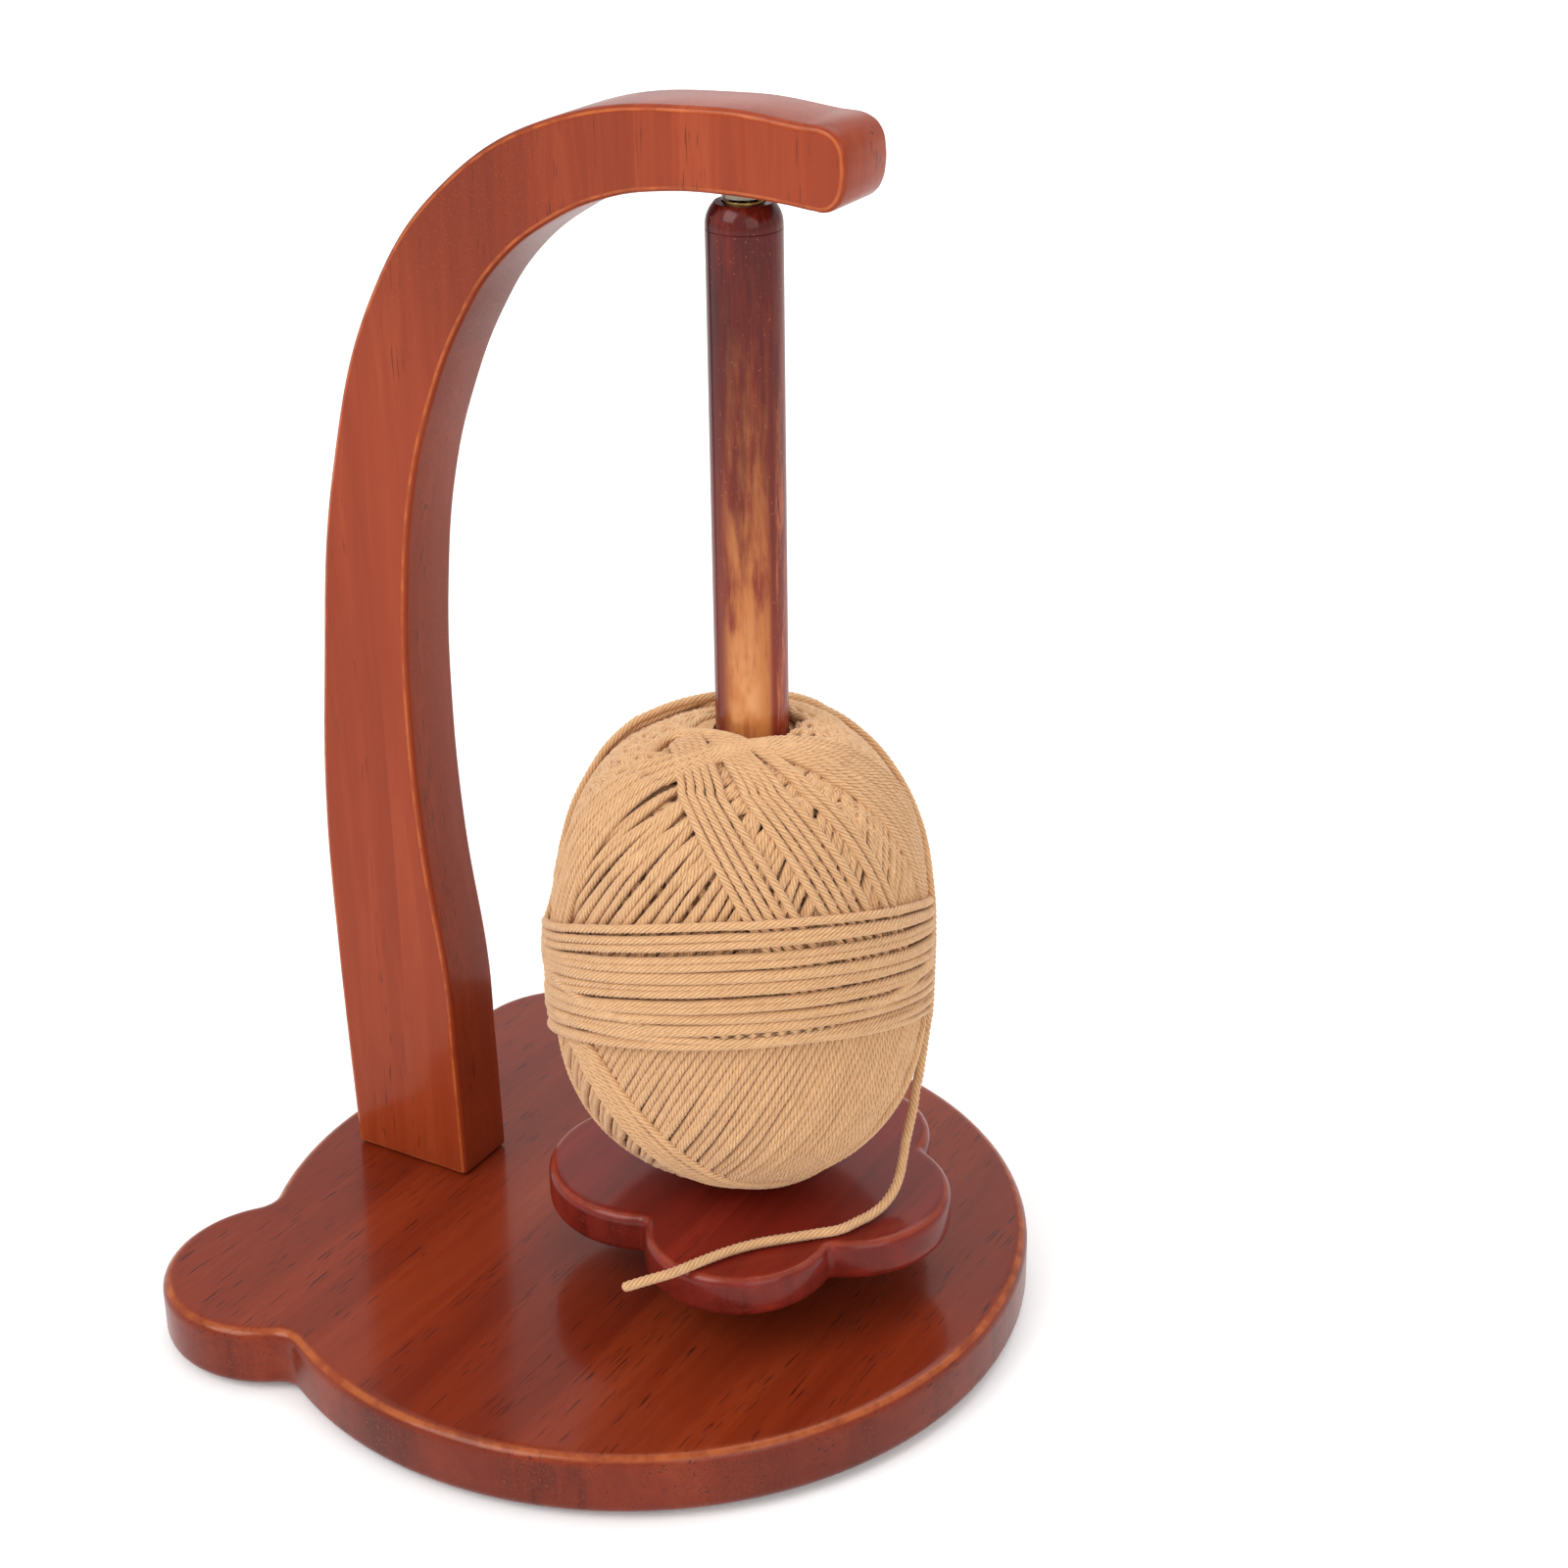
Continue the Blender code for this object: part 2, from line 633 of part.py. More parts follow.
def wound_strand(radius, normal, first, pitch, loops, drop=0.0):
    """A strand wound round the ball in planes square to the normal, from the first direction.

    The planes step along their normal as the strand goes round, so the loops lie side by
    side and never meet. Each point is where its ray from the plane's middle leaves the ball.
    """
    second = normal.cross(first)
    half_height = core_half_height + radius - core_radius
    count = loops * loop_points
    points = []
    for i in range(count + 1):
        turn = 2 * pi * i / loop_points
        shift = normal * pitch * (count / 2 - i) / loop_points - upwards * drop
        ray = first * cos(turn) + second * sin(turn)
        near, far = 0, radius + half_height
        for _ in range(40):
            reach = (near + far) / 2
            inside = ball_surface(shift + ray * reach, radius, half_height) < 1
            near, far = (reach, far) if inside else (near, reach)
        points.append(shift + ray * near + ball_middle)
    return points


def leaning_strand(radius, lean, loops):
    """Loops that lean sideways across the ball's front."""
    normal = upwards * cos(lean) - ball_across * sin(lean)
    return wound_strand(radius, normal, -ball_front, winding_pitch, loops)


def band_strand():
    """The waist band: nearly level loops, tipped up at the ball's front, that end at its side."""
    normal = upwards * cos(band_lean) - ball_front * sin(band_lean)
    return wound_strand(band_radius, normal, ball_across, band_pitch, band_loops, band_drop)


def segment_gap(a, b, c, d):
    """The least distance between two straight stretches, by trying points along both."""
    tries = [i / 4 for i in range(5)]
    return min((a.lerp(b, s) - c.lerp(d, t)).length for s in tries for t in tries)


def least_gap(points):
    """The least gap of a wound strand to its own other loops, surface to surface."""
    least = None
    reach = loop_points // 2
    for i in range(len(points) - 1):
        for j in range(i + reach, len(points) - 1):
            if (points[i] - points[j]).length < 4 * yarn_diameter:
                gap = segment_gap(points[i], points[i + 1], points[j], points[j + 1]) - yarn_diameter
                least = gap if least is None else min(least, gap)
    return least


def make_windings(yarn):
    strands = {"yarn_winding": leaning_strand(winding_radius, winding_lean, winding_loops),
               "yarn_cross_winding": leaning_strand(cross_radius, cross_lean, cross_loops),
               "yarn_band": band_strand()}
    for name, points in strands.items():
        add_part(name, tube_mesh(name, points, yarn_radius, 1), yarn, radians(80.0))
        print(f"{name}: least gap to itself {least_gap(points) * 1000:.2f} mm")


def smooth_route(route, steps):
    """Points read from a smooth curve through the route's own points."""
    points = []
    for i in range(len(route) - 1):
        before = route[max(i - 1, 0)]
        start, end = route[i], route[i + 1]
        after = route[min(i + 2, len(route) - 1)]
        for step in range(steps):
            t = step / steps
            square = before * 2 - start * 5 + end * 4 - after
            cube = start * 3 - before - end * 3 + after
            points.append((start * 2 + (end - before) * t + square * t ** 2 + cube * t ** 3) / 2)
    return points + [route[-1]]


def make_tail(yarn):
    route = [Vector(place) for place in tail_route]
    points = smooth_route(route, tail_steps)
    add_part("yarn_tail", tube_mesh("yarn_tail", points, yarn_radius, 2), yarn, radians(80.0))


clear_scene()
holder = new_collection("yarn_ball_holder")
cutters = new_collection("cutters")

stained_wood = finish_material("stained_wood", (0.30, 0.065, 0.022), 0.38)
dark_wood = finish_material("dark_wood", (0.16, 0.030, 0.018), 0.34)
zinc_steel = finish_material("zinc_steel", (0.62, 0.55, 0.34), 0.30, 1.0)
bright_steel = finish_material("bright_steel", (0.60, 0.60, 0.62), 0.25, 1.0)
magnet_nickel = finish_material("magnet_nickel", (0.45, 0.45, 0.47), 0.22, 1.0)
brass_finish = finish_material("brass", (0.70, 0.50, 0.20), 0.28, 1.0)
rubber_pad = finish_material("rubber_pad", (0.03, 0.03, 0.03), 0.85)
tan_yarn = finish_material("tan_yarn", (0.74, 0.47, 0.22), 0.90)

make_base(stained_wood)
make_pads(rubber_pad)
make_arm(stained_wood)
make_arm_screws(zinc_steel, brass_finish)
make_magnet(bright_steel, magnet_nickel)
make_pivot(bright_steel, brass_finish)
make_post(dark_wood)
make_plate(dark_wood, bright_steel)
make_core(tan_yarn)
make_windings(tan_yarn)
make_tail(tan_yarn)
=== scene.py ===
"""The looks of a yarn ball holder: lacquered wood, its metal pivot and a wound ball of yarn.

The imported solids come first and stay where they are. Each operator then models one piece,
or a group of like pieces, in metres and in the solids' own frame: +Z up, with the origin on
the table under the middle of the round base. The holder's arm stands at -X, the post hangs
over +X, and the photographed side faces -Y and a little +X.
"""

from math import acos, atan2, cos, pi, radians, sin, sqrt

import bpy
import numpy as np
from mathutils import Matrix, Vector
from mathutils.kdtree import KDTree


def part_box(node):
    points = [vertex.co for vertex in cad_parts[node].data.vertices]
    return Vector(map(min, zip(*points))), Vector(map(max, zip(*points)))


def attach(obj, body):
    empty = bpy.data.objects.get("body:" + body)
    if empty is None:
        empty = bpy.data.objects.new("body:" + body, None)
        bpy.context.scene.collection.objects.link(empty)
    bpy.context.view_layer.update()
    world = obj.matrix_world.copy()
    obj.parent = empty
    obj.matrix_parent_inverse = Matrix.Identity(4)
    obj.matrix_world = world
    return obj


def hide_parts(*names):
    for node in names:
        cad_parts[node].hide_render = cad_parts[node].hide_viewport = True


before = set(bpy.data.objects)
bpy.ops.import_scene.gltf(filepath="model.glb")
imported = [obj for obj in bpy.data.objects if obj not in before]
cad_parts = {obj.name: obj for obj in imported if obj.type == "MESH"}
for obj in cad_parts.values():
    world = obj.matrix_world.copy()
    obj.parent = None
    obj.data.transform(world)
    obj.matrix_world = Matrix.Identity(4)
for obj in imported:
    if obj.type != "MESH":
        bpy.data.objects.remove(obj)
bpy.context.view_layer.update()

bl_info = {
    "name": "Yarn ball holder",
    "version": (1, 0, 0),
    "blender": (4, 5, 0),
    "location": "View3D > Sidebar > Yarn Holder",
    "description": "Models and finishes a wooden yarn ball holder and its ball of yarn",
    "category": "Object",
}

mm = 0.001


def packed(node):
    """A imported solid's lowest and highest corner, its middle and its half width."""
    low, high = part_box(node)
    return low, high, (low + high) / 2, (high.x - low.x) / 2


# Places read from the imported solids
board_low, board_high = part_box("base_board")
arm_low, arm_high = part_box("arch_arm")
plate_low, plate_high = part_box("flower_plate")
post_low, post_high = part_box("spindle_post")
core_low, core_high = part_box("yarn_core")
pot_low, pot_high, _, pot_radius = packed("magnet_pot")
cup_low, cup_high, _, cup_radius = packed("pivot_cup")
spindle_x = (cup_low.x + cup_high.x) / 2
spindle = Vector((spindle_x, 0, 0))

# Clearances
seat_gap = 0.3 * mm
bore_gap = 0.4 * mm
cut_over = 2 * mm
weld = 0.01 * mm

# How finely round forms are drawn
bore_sides = 64
small_sides = 64
turned_sides = 96
corner_steps = 6
rim_steps = 6
large_face = 40       # a face with more corners than this is one of a board's two sides
smooth_angle = radians(35)

# Base board
disc_radius = board_high.x
ear_ring_radius = 96 * mm
ear_angle = radians(42.8)
ear_radius = 29.3 * mm
ear_notch_round = 7 * mm
board_edge_round = 3.2 * mm

# Rubber pads
pad_edge_round = 0.4 * mm

# Arched arm
arm_foot_back = 12.2 * mm - disc_radius
arm_foot_width = 36.2 * mm
arm_reach = 153 * mm
arm_height = 293 * mm
arm_edge_round = 1.4 * mm
seat_height = pot_low.z + 2.1 * mm
arm_outer_shares = [(-0.0115, 0.216), (-0.0105, 0.345), (0.0098, 0.472), (0.0660, 0.669), (0.1690, 0.822),
                    (0.3140, 0.9185), (0.5200, 0.981), (0.7830, 1.0015), (0.9250, 0.9975)]
arm_nose_shares = [(0.9765, 0.9942), (0.9935, 0.9860), (0.9996, 0.9730), (0.9993, 0.9601), (0.9941, 0.9485),
                   (0.9830, 0.9399), (0.9660, 0.9353), (0.9464, 0.9355), (0.9020, 0.9375)]
arm_inner_shares = [(0.6980, 0.9352), (0.6111, 0.9256), (0.5072, 0.9007), (0.4085, 0.8604),
                    (0.3353, 0.8078), (0.2745, 0.7423), (0.2268, 0.6666), (0.1954, 0.5608),
                    (0.1863, 0.4515), (0.1961, 0.3287), (0.2275, 0.1956), (0.2310, 0.1300)]

# Screws, inserts, magnet's pot and cup
arm_sides = ("outer", "inner")        # of its foot, each with a screw and an insert
arm_screw_radius = 2.5 * mm
arm_screw_groove = 2.05 * mm          # radius at the foot of its thread
arm_screw_pitch = 0.8 * mm
arm_screw_head_height = 3.3 * mm
arm_screw_cross = 5 * mm              # across the cross in its head
arm_screw_dome = 4.1 * mm
cross_width_share = 0.22
cross_bar_height = 2.8 * mm
cross_taper = 0.55
counterbore_radius = 5.55 * mm
counterbore_depth = 5.5 * mm
insert_turns = 6
insert_thread_depth = 0.5 * mm
pot_wall = 1 * mm
pot_edge_round = 0.3 * mm
cup_wall = 1.1 * mm
cup_lip = 0.3 * mm
cup_countersink = 1.3 * mm
cup_screw_radius = 1.1 * mm
cup_screw_head_height = 1 * mm
plate_screw_radius = 2 * mm
plate_screw_head_height = 2.4 * mm
plate_screw_point = 3 * mm
plate_screw_cross = 4 * mm
plate_screw_seat = 3 * mm             # depth of its head's seat in the plate
wood_screw_turns = 9                  # of the cup's screw and of the plate's

# Post and flower plate
post_radius = 8.6 * mm
post_top_round = 7 * mm
post_flat_radius = 6.5 * mm
post_end_chamfer = 0.8 * mm
post_line_drop = 5.7 * mm      # from the top down to the fine turned line
post_line_depth = 0.12 * mm
plate_lobes = [(6.2, 24.1 * mm, 25.9 * mm), (71.3, 26.2 * mm, 24.2 * mm), (136.5, 26.4 * mm, 24.6 * mm),
               (201.6, 26.4 * mm, 27.6 * mm), (290.2, 27.3 * mm, 23.4 * mm)]
lobe_notch_round = 2.2 * mm
plate_edge_round = 2.6 * mm

# Yarn
ball_bulge = Vector((0.6, 0.35, 0)) * mm            # how much more it bulges to the left
ball_middle = (core_low + core_high) / 2 - ball_bulge
yarn_body = (41.2 * mm, 61.4 * mm, 56.0 * mm)       # radius, height and depth from its middle, inside
under_outside = (43.1 * mm, 62.7 * mm, 57.3 * mm)   # the same over the first windings
rising_outside = (45.4 * mm, 64.3 * mm, 58.9 * mm)  # over the next
yarn_outside = (46.2 * mm, 66.0 * mm, 59.6 * mm)    # and over the last
band_outside = (47.5 * mm, 66.0 * mm, 60.6 * mm)    # and over the band
lead_outside = (47.7 * mm, 65.8 * mm, 60.4 * mm)    # and over the strand that leads to the loose end
end_radius = 28 * mm     # round the post, the yarn lies evenly about it
end_drop = 5.6 * mm      # and its lower end is drawn down along it
waist_power = 3.1        # how boxy the ball is at its waist
upper_power = 2.3        # and how round towards its upper end
lower_power = 1.35       # and its lower end
give = 0.8               # how far a pile of strands sinks into the ball
touch_share = 0.86       # how close strands lie where they cross, as a share of their thickness
bury_share = 0.07        # how deep a strand lies under what was wound later, as a share of the ball
shown_middle = 15        # the crossing loops show round this heading, in degrees from the front,
shown_reach = 82         # this far to each side of it
shown_fade = 16          # and then go under
loop_steps = 290         # points in one loop
loops_in_piece = 24
body_rows = 48
body_gap = 0.6 * mm      # between the post and the yarn
golden_share = 0.618034
lean_jitter = 0.9        # how unevenly the loops are laid, in degrees
heading_jitter = 0.8
tight_rounds = 120       # how often a strand is pulled straight
tail_route = [(0.0730, 0.0170, 0.0871), (0.0725, 0.0167, 0.0818), (0.0719, 0.0160, 0.0745),
              (0.0715, 0.0149, 0.0701), (0.0717, 0.0133, 0.0660), (0.0718, 0.0111, 0.0621),
              (0.0722, 0.0084, 0.0587), (0.0728, 0.0058, 0.0552), (0.0734, 0.0028, 0.0520),
              (0.0735, -0.0006, 0.0496), (0.0730, -0.0048, 0.0480), (0.0717, -0.0088, 0.0471),
              (0.0703, -0.0121, 0.0469), (0.0680, -0.0176, 0.0469), (0.0639, -0.0219, 0.0469),
              (0.0589, -0.0269, 0.0469), (0.0538, -0.0321, 0.0469), (0.0494, -0.0381, 0.0469),
              (0.0456, -0.0452, 0.0469), (0.0421, -0.0525, 0.0469), (0.0380, -0.0587, 0.0469),
              (0.0349, -0.0635, 0.0469)]
tail_spacing = 0.5 * mm      # from one point of the loose end to the next

# The waist band
band_loops = 18
band_lean = radians(22)
band_heading = radians(7)           # of its highest point, from the front
band_rise = [16.8, -19.2, -4.2]     # in degrees, at its start, a loop before its end, and at its end
band_sway = radians(1.4)

# Lean, heading and top, in degrees, of the loops that cross the others on the upper front
crossing_loops = [(64, -64, 73), (64.5, -61.2, 74), (65, -58.4, 75), (65.5, -55.6, 76), (66, -52.8, 77),
                  (69, -45.4, 78), (69.8, -42.6, 78.5), (70.6, -39.8, 79), (71.4, -37, 79.3),
                  (72.2, -34.2, 79.5), (75, -28.4, 79.6), (75.8, -25.6, 79.6), (76.6, -22.8, 79.6)]

# The strand that leads to the loose end, its angles in degrees
lead_loops = 0.36     # how many times it goes round
lead_from = 76        # its start, above level
lead_drop = 97.6
# How far it is below level, and its heading there, from the front
lead_headings = [(-76, 160), (-66, 135), (-57, 115), (-43, 100), (-30, 88), (-10, 84), (10, 84), (25, 84)]

# Lights: name, place, width and share of the key light's power
lamps = [("key", (-0.45, -1.20, 1.25), 1.0, 1.0),
         ("fill", (1.20, -0.80, 0.80), 1.0, 0.4),
         ("top", (0.10, 0.60, 1.50), 1.2, 0.50),
         ("back", (-0.62, 1.20, 0.68), 0.6, 0.03)]
lamp_aim = Vector((0, 0, 0.12))
floor_width = 6.0
white_rays = ("Is Camera Ray", "Is Glossy Ray", "Is Transmission Ray")

# Camera
view_turn = radians(30.34)
view_tilt = radians(25.45)
view_roll = radians(-0.64)
view_place = Vector((339.6, -506.06, 432.73)) * mm
view_lens = 63.4
front_heading = view_turn - pi / 2


class Reading:
    """A value or colour in a material. Arithmetic on it adds the nodes that work it out."""

    def __init__(self, finish, socket):
        self.finish = finish
        self.socket = socket

    def worked(self, operation, *others):
        return self.finish.node("ShaderNodeMath", {"operation": operation}, dict(enumerate((self, *others))))

    def __add__(self, other):
        return self.worked('ADD', other)

    def __sub__(self, other):
        return self.worked('SUBTRACT', other)

    def __rsub__(self, other):
        return self.worked('MULTIPLY', -1) + other

    def __mul__(self, other):
        return self.worked('MULTIPLY', other)

    def __truediv__(self, other):
        return self.worked('DIVIDE', other)

    def __pow__(self, other):
        return self.worked('POWER', other)

    __radd__ = __add__
    __rmul__ = __mul__

    def above(self, low, high):
        """0 below low, 1 above high, and a smooth rise between them."""
        inputs = {"Value": self, "From Min": low, "From Max": high}
        return self.finish.node("ShaderNodeMapRange", {"interpolation_type": 'SMOOTHSTEP'}, inputs)

    def below(self, low, high):
        return 1 - self.above(low, high)


class Finish:
    """A material in the making."""

    def __init__(self, name, **constants):
        self.start(bpy.data.materials.new(name), "Principled BSDF", constants)

    def start(self, material, shader, constants):
        self.material = material
        self.material.use_nodes = True
        self.tree = self.material.node_tree
        self.shader = self.tree.nodes[shader]
        for socket, value in constants.items():
            self.shader.inputs[socket.replace("_", " ")].default_value = value

    def node(self, kind, settings=None, inputs=None, output=0):
        """Adds a node, sets it up, feeds its sockets and returns one of its outputs."""
        node = self.tree.nodes.new(kind)
        for name, value in (settings or {}).items():
            setattr(node, name, value)
        for name, value in (inputs or {}).items():
            self.feed(node.inputs[name], value)
        return Reading(self, node.outputs[output])

    def feed(self, socket, value):
        if isinstance(value, Reading):
            self.tree.links.new(value.socket, socket)
        elif socket.type == 'RGBA' and len(value) == 3:
            socket.default_value = (*value, 1.0)
        else:
            socket.default_value = value

    def rays_of(self, kinds):
        """1 for the kinds of rays named, and 0 for all others."""
        return sum(self.node("ShaderNodeLightPath", output=kind) for kind in kinds)

    def place(self, scale=(1, 1, 1), offset=(0, 0, 0)):
        """The piece's own coordinates, stretched and shifted."""
        place = self.node("ShaderNodeTexCoord", output="Object")
        return self.node("ShaderNodeMapping", None, {"Vector": place, "Scale": scale, "Location": offset})

    def split(self, vector):
        return [self.node("ShaderNodeSeparateXYZ", None, {0: vector}, i) for i in range(3)]

    def combined(self, *parts):
        return self.node("ShaderNodeCombineXYZ", None, dict(enumerate(parts)))

    def vector(self, operation, *vectors, output=0):
        settings = {"operation": operation}
        return self.node("ShaderNodeVectorMath", settings, dict(enumerate(vectors)), output)

    def noise(self, place, scale, detail=3.0, roughness=0.5):
        inputs = {"Vector": place, "Scale": scale, "Detail": detail, "Roughness": roughness}
        return self.node("ShaderNodeTexNoise", None, inputs)

    def mix(self, share, first, second):
        return self.node("ShaderNodeMix", {"data_type": 'RGBA'}, {0: share, 6: first, 7: second}, 2)

    def ramp(self, value, *stops):
        """A colour for the value, between stops of (value, colour)."""
        colour = self.node("ShaderNodeValToRGB", None, {0: value})
        elements = colour.socket.node.color_ramp.elements
        while len(elements) < len(stops):
            elements.new(1.0)
        for element, (place, stop) in zip(elements, stops):
            element.position = place
            element.color = (*stop, 1.0)
        return colour

    def bump(self, height, distance, strength):
        inputs = {"Height": height, "Distance": distance, "Strength": strength}
        return self.node("ShaderNodeBump", None, inputs)

    def shade(self, **inputs):
        for name, value in inputs.items():
            self.feed(self.shader.inputs[name.replace("_", " ")], value)
        return self.material


class Sky(Finish):
    """The world's light in the making."""

    def __init__(self, name):
        self.start(bpy.data.worlds.new(name), "Background", {"Color": (1, 1, 1, 1)})


def paint(red, green, blue):
    """A colour as paint charts give it, from 0 to 255, made linear."""
    shares = (c / 255 for c in (red, green, blue))
    return tuple(s / 12.92 if s < 0.0405 else ((s + 0.055) / 1.055) ** 2.4 for s in shares)


def darkened(colour, share):
    return tuple(c * share for c in colour)


def axis_scale(axis, share):
    """A scale that stretches a pattern along one axis."""
    return tuple(share if i == axis else 1.0 for i in range(3))


def lacquered_wood(name, grain, tones, rim, darker, stave, seed, pore_share=0.5, coat=0.34):
    """Stained, lacquered softwood with its grain along Y (grain 1) or Z (grain 2).

    tones are the darkest, middle and lightest stain and the colour where it is worn off.
    rim and darker are functions that turn the finish and its coordinates into masks of the
    worn edges and of the darker parts: end grain that took up more stain on the base and the
    plate, and painted shade on the arm. stave is the width of the strips that the board is
    glued up from, and seed sets its figure apart from other boards'.
    """
    finish = Finish(name, Coat_Weight=coat, Coat_Roughness=0.14, Specular_IOR_Level=0.06)
    dark, middle, light, worn = tones
    place = finish.place(offset=(seed, seed, seed))
    own = finish.split(finish.place())
    strip = (own[0] / stave + seed * 50).worked('FLOOR')
    step = finish.node("ShaderNodeTexWhiteNoise", {"noise_dimensions": '1D'}, {"W": strip})
    shift = finish.combined(step * 3, step * 2, step * 4)
    stretched = finish.vector('ADD', finish.vector('MULTIPLY', place, axis_scale(grain, 0.06)), shift)
    broad = finish.noise(stretched, 60.0, 3.0, 0.55)
    wavy = finish.noise(stretched, 190.0, 2.0, 0.5)
    fibre = finish.noise(stretched, 1400.0, 3.0, 0.7)
    ring = ((broad * 9).worked('FRACT') * 2 - 1).worked('ABSOLUTE')
    tone = broad * 0.60 + wavy * 0.16 + fibre * 0.14 + ring ** 2.5 * 0.06 + step * 0.14
    colour = finish.ramp(tone, (0.30, dark), (0.58, middle), (0.86, light))
    pores = finish.noise(finish.vector('MULTIPLY', place, axis_scale(grain, 0.05)), 2000.0, 1.0, 0.4)
    groups = finish.noise(stretched, 120.0, 1.0)
    pores = pores.above(0.62, 0.70) * groups.above(0.62 - pore_share * 0.3, 0.72 - pore_share * 0.2)
    colour = finish.mix(pores * (0.40 + 0.45 * pore_share), colour, darkened(dark, 0.25))
    specks = finish.noise(place, 1700.0, 2.0)
    deep = darker(finish, own)
    # Darker stain on the base's and plate's end grain; on the arm, painted shade
    colour = finish.mix(deep, colour, darkened(dark, 0.6))
    colour = finish.mix(deep * specks.above(0.55, 0.75) * 0.4, colour, worn)
    mask = rim(finish, own) * (finish.noise(place, 130.0, 4.0, 0.6).above(0.36, 0.62) * 0.7 + 0.3)
    colour = finish.mix(mask, colour, worn)
    roughness = finish.noise(place, 45.0, 3.0) * 0.16 + fibre * 0.10 + 0.22
    height = fibre * 0.6 - pores * 1.4 + finish.noise(place, 260.0, 2.0) * 0.5 + specks * 0.3
    return finish.shade(Base_Color=colour, Roughness=roughness, Normal=finish.bump(height, 0.05 * mm, 0.55))


def level_rim(high, rounding, strength):
    """A mask on the upper rim of a level board, where its rounding turns over."""
    def mask(finish, own):
        outer = own[2].above(high - rounding * 0.5, high - rounding * 0.25)
        return outer * own[2].below(high - rounding * 0.12, high) * strength
    return mask


def upright_rim(half_thickness, rounding, strength):
    """A mask on the rounded edges of a board that stands on edge along X."""
    def mask(finish, own):
        away = own[1].worked('ABSOLUTE')
        outer = away.above(half_thickness - rounding * 0.24, half_thickness - rounding * 0.1)
        return outer * away.below(half_thickness - rounding * 0.03, half_thickness) * strength
    return mask


def arm_shade(half_thickness, rounding, bend, reach, tip):
    """A mask of painted shade: on the arm away from its sawn faces and its tip, and within reach of its bend.
    """
    def mask(finish, own):
        narrow = own[1].worked('ABSOLUTE').below(half_thickness - rounding, half_thickness - rounding * 0.5)
        away = finish.vector('DISTANCE', finish.place(), bend, output=1)
        return narrow * own[0].below(tip - rounding * 5, tip - rounding) * 0.30 + away.below(0, reach) * 0.45
    return mask


def banded_side(high, rounding):
    """A mask of dark upright bands on a level board's side, where its end grain took more stain."""
    def mask(finish, own):
        side = own[2].below(high - rounding, high - rounding * 0.4)
        broad = finish.noise(finish.place(scale=(1, 1, 0.2)), 55.0, 2.0).above(0.45, 0.62)
        narrow = finish.noise(finish.place(scale=(1, 1, 0.15)), 210.0, 3.0, 0.6).above(0.42, 0.66)
        return side * (broad * 0.30 + broad * narrow * 0.35 + narrow * 0.15)
    return mask


def metal(name, colour, roughness):
    finish = Finish(name, Metallic=1.0)
    spots = finish.noise(finish.place(), 700.0, 4.0, 0.6)
    lines = finish.noise(finish.place(scale=(1, 1, 8)), 900.0, 2.0)
    shade = finish.mix(spots.above(0.35, 0.75), darkened(colour, 0.72), colour)
    normal = finish.bump(lines, 0.01 * mm, 0.5)
    return finish.shade(Base_Color=shade, Roughness=spots * 0.2 + (roughness - 0.1), Normal=normal)


def rubber(name):
    finish = Finish(name)
    grain = finish.noise(finish.place(), 2600.0, 3.0)
    colour = finish.mix(grain, paint(18, 18, 18), paint(38, 37, 36))
    normal = finish.bump(grain, 0.05 * mm, 0.5)
    return finish.shade(Base_Color=colour, Roughness=grain * 0.2 + 0.7, Normal=normal)


def wool(name, light, dark, plies):
    """Soft plied yarn. Its map turns with the plies in u and runs along them, in metres, in v."""
    finish = Finish(name, Roughness=0.92, Specular_IOR_Level=0.15, Sheen_Weight=0.25, Sheen_Roughness=0.6)
    own = finish.node("ShaderNodeUVMap", {"uv_map": "strand"})
    round_it, along_it, _ = finish.split(own)
    fibre = finish.noise(finish.combined(round_it * plies * 4, along_it * 420), 1.0, 3.0, 0.65)
    groove = (round_it * plies * 2 * pi).worked('COSINE') * 0.5 + 0.5
    soft = finish.noise(finish.place(), 340.0, 3.0)
    # Painted shade in the grooves between the plies; darker fibres and soft patches take the same shade
    # colour
    colour = finish.mix(groove ** 2 * 0.52 + fibre.below(0.35, 0.62) * 0.34, light, dark)
    colour = finish.mix(soft.above(0.35, 0.75) * 0.20, colour, dark)
    height = fibre * 0.6 - groove ** 3 * 0.8
    return finish.shade(Base_Color=colour, Normal=finish.bump(height, 0.22 * mm, 0.8))


def plain_yarn(name, light, dark):
    """The yarn deep inside the ball, seen only through gaps."""
    finish = Finish(name, Roughness=0.95)
    lines = finish.noise(finish.place(scale=(1, 1, 3)), 500.0, 3.0, 0.6)
    # Lines of the yarn's own colour and of its painted shade colour
    colour = finish.mix(lines, dark, light)
    return finish.shade(Base_Color=colour, Normal=finish.bump(lines, 0.6 * mm, 0.8))


def deselect_all():
    if bpy.context.object is not None and bpy.context.object.mode != 'OBJECT':
        bpy.ops.object.mode_set(mode='OBJECT')
    bpy.ops.object.select_all(action='DESELECT')


def only(piece):
    """Makes the piece the only selected object, and the active one."""
    deselect_all()
    piece.select_set(True)
    bpy.context.view_layer.objects.active = piece


def leave_edit():
    bpy.ops.object.mode_set(mode='OBJECT')


def edit(piece, action='SELECT'):
    """Goes into edit mode with all of the piece selected, or with DESELECT, none of it."""
    only(piece)
    bpy.ops.object.mode_set(mode='EDIT')
    bpy.ops.mesh.select_all(action=action)


def select_where(piece, kind, test):
    """Selects the edges or polygons of a piece that pass the test, and goes into edit mode."""
    only(piece)
    mesh = piece.data
    for element in (*mesh.vertices, *mesh.edges, *mesh.polygons):
        element.select = False
    for element in getattr(mesh, kind):
        element.select = bool(test(element))
    bpy.context.tool_settings.mesh_select_mode = (False, kind == "edges", kind == "polygons")
    bpy.ops.object.mode_set(mode='EDIT')


def apply_place(piece):
    only(piece)
    bpy.ops.object.transform_apply(location=True, rotation=True, scale=True)


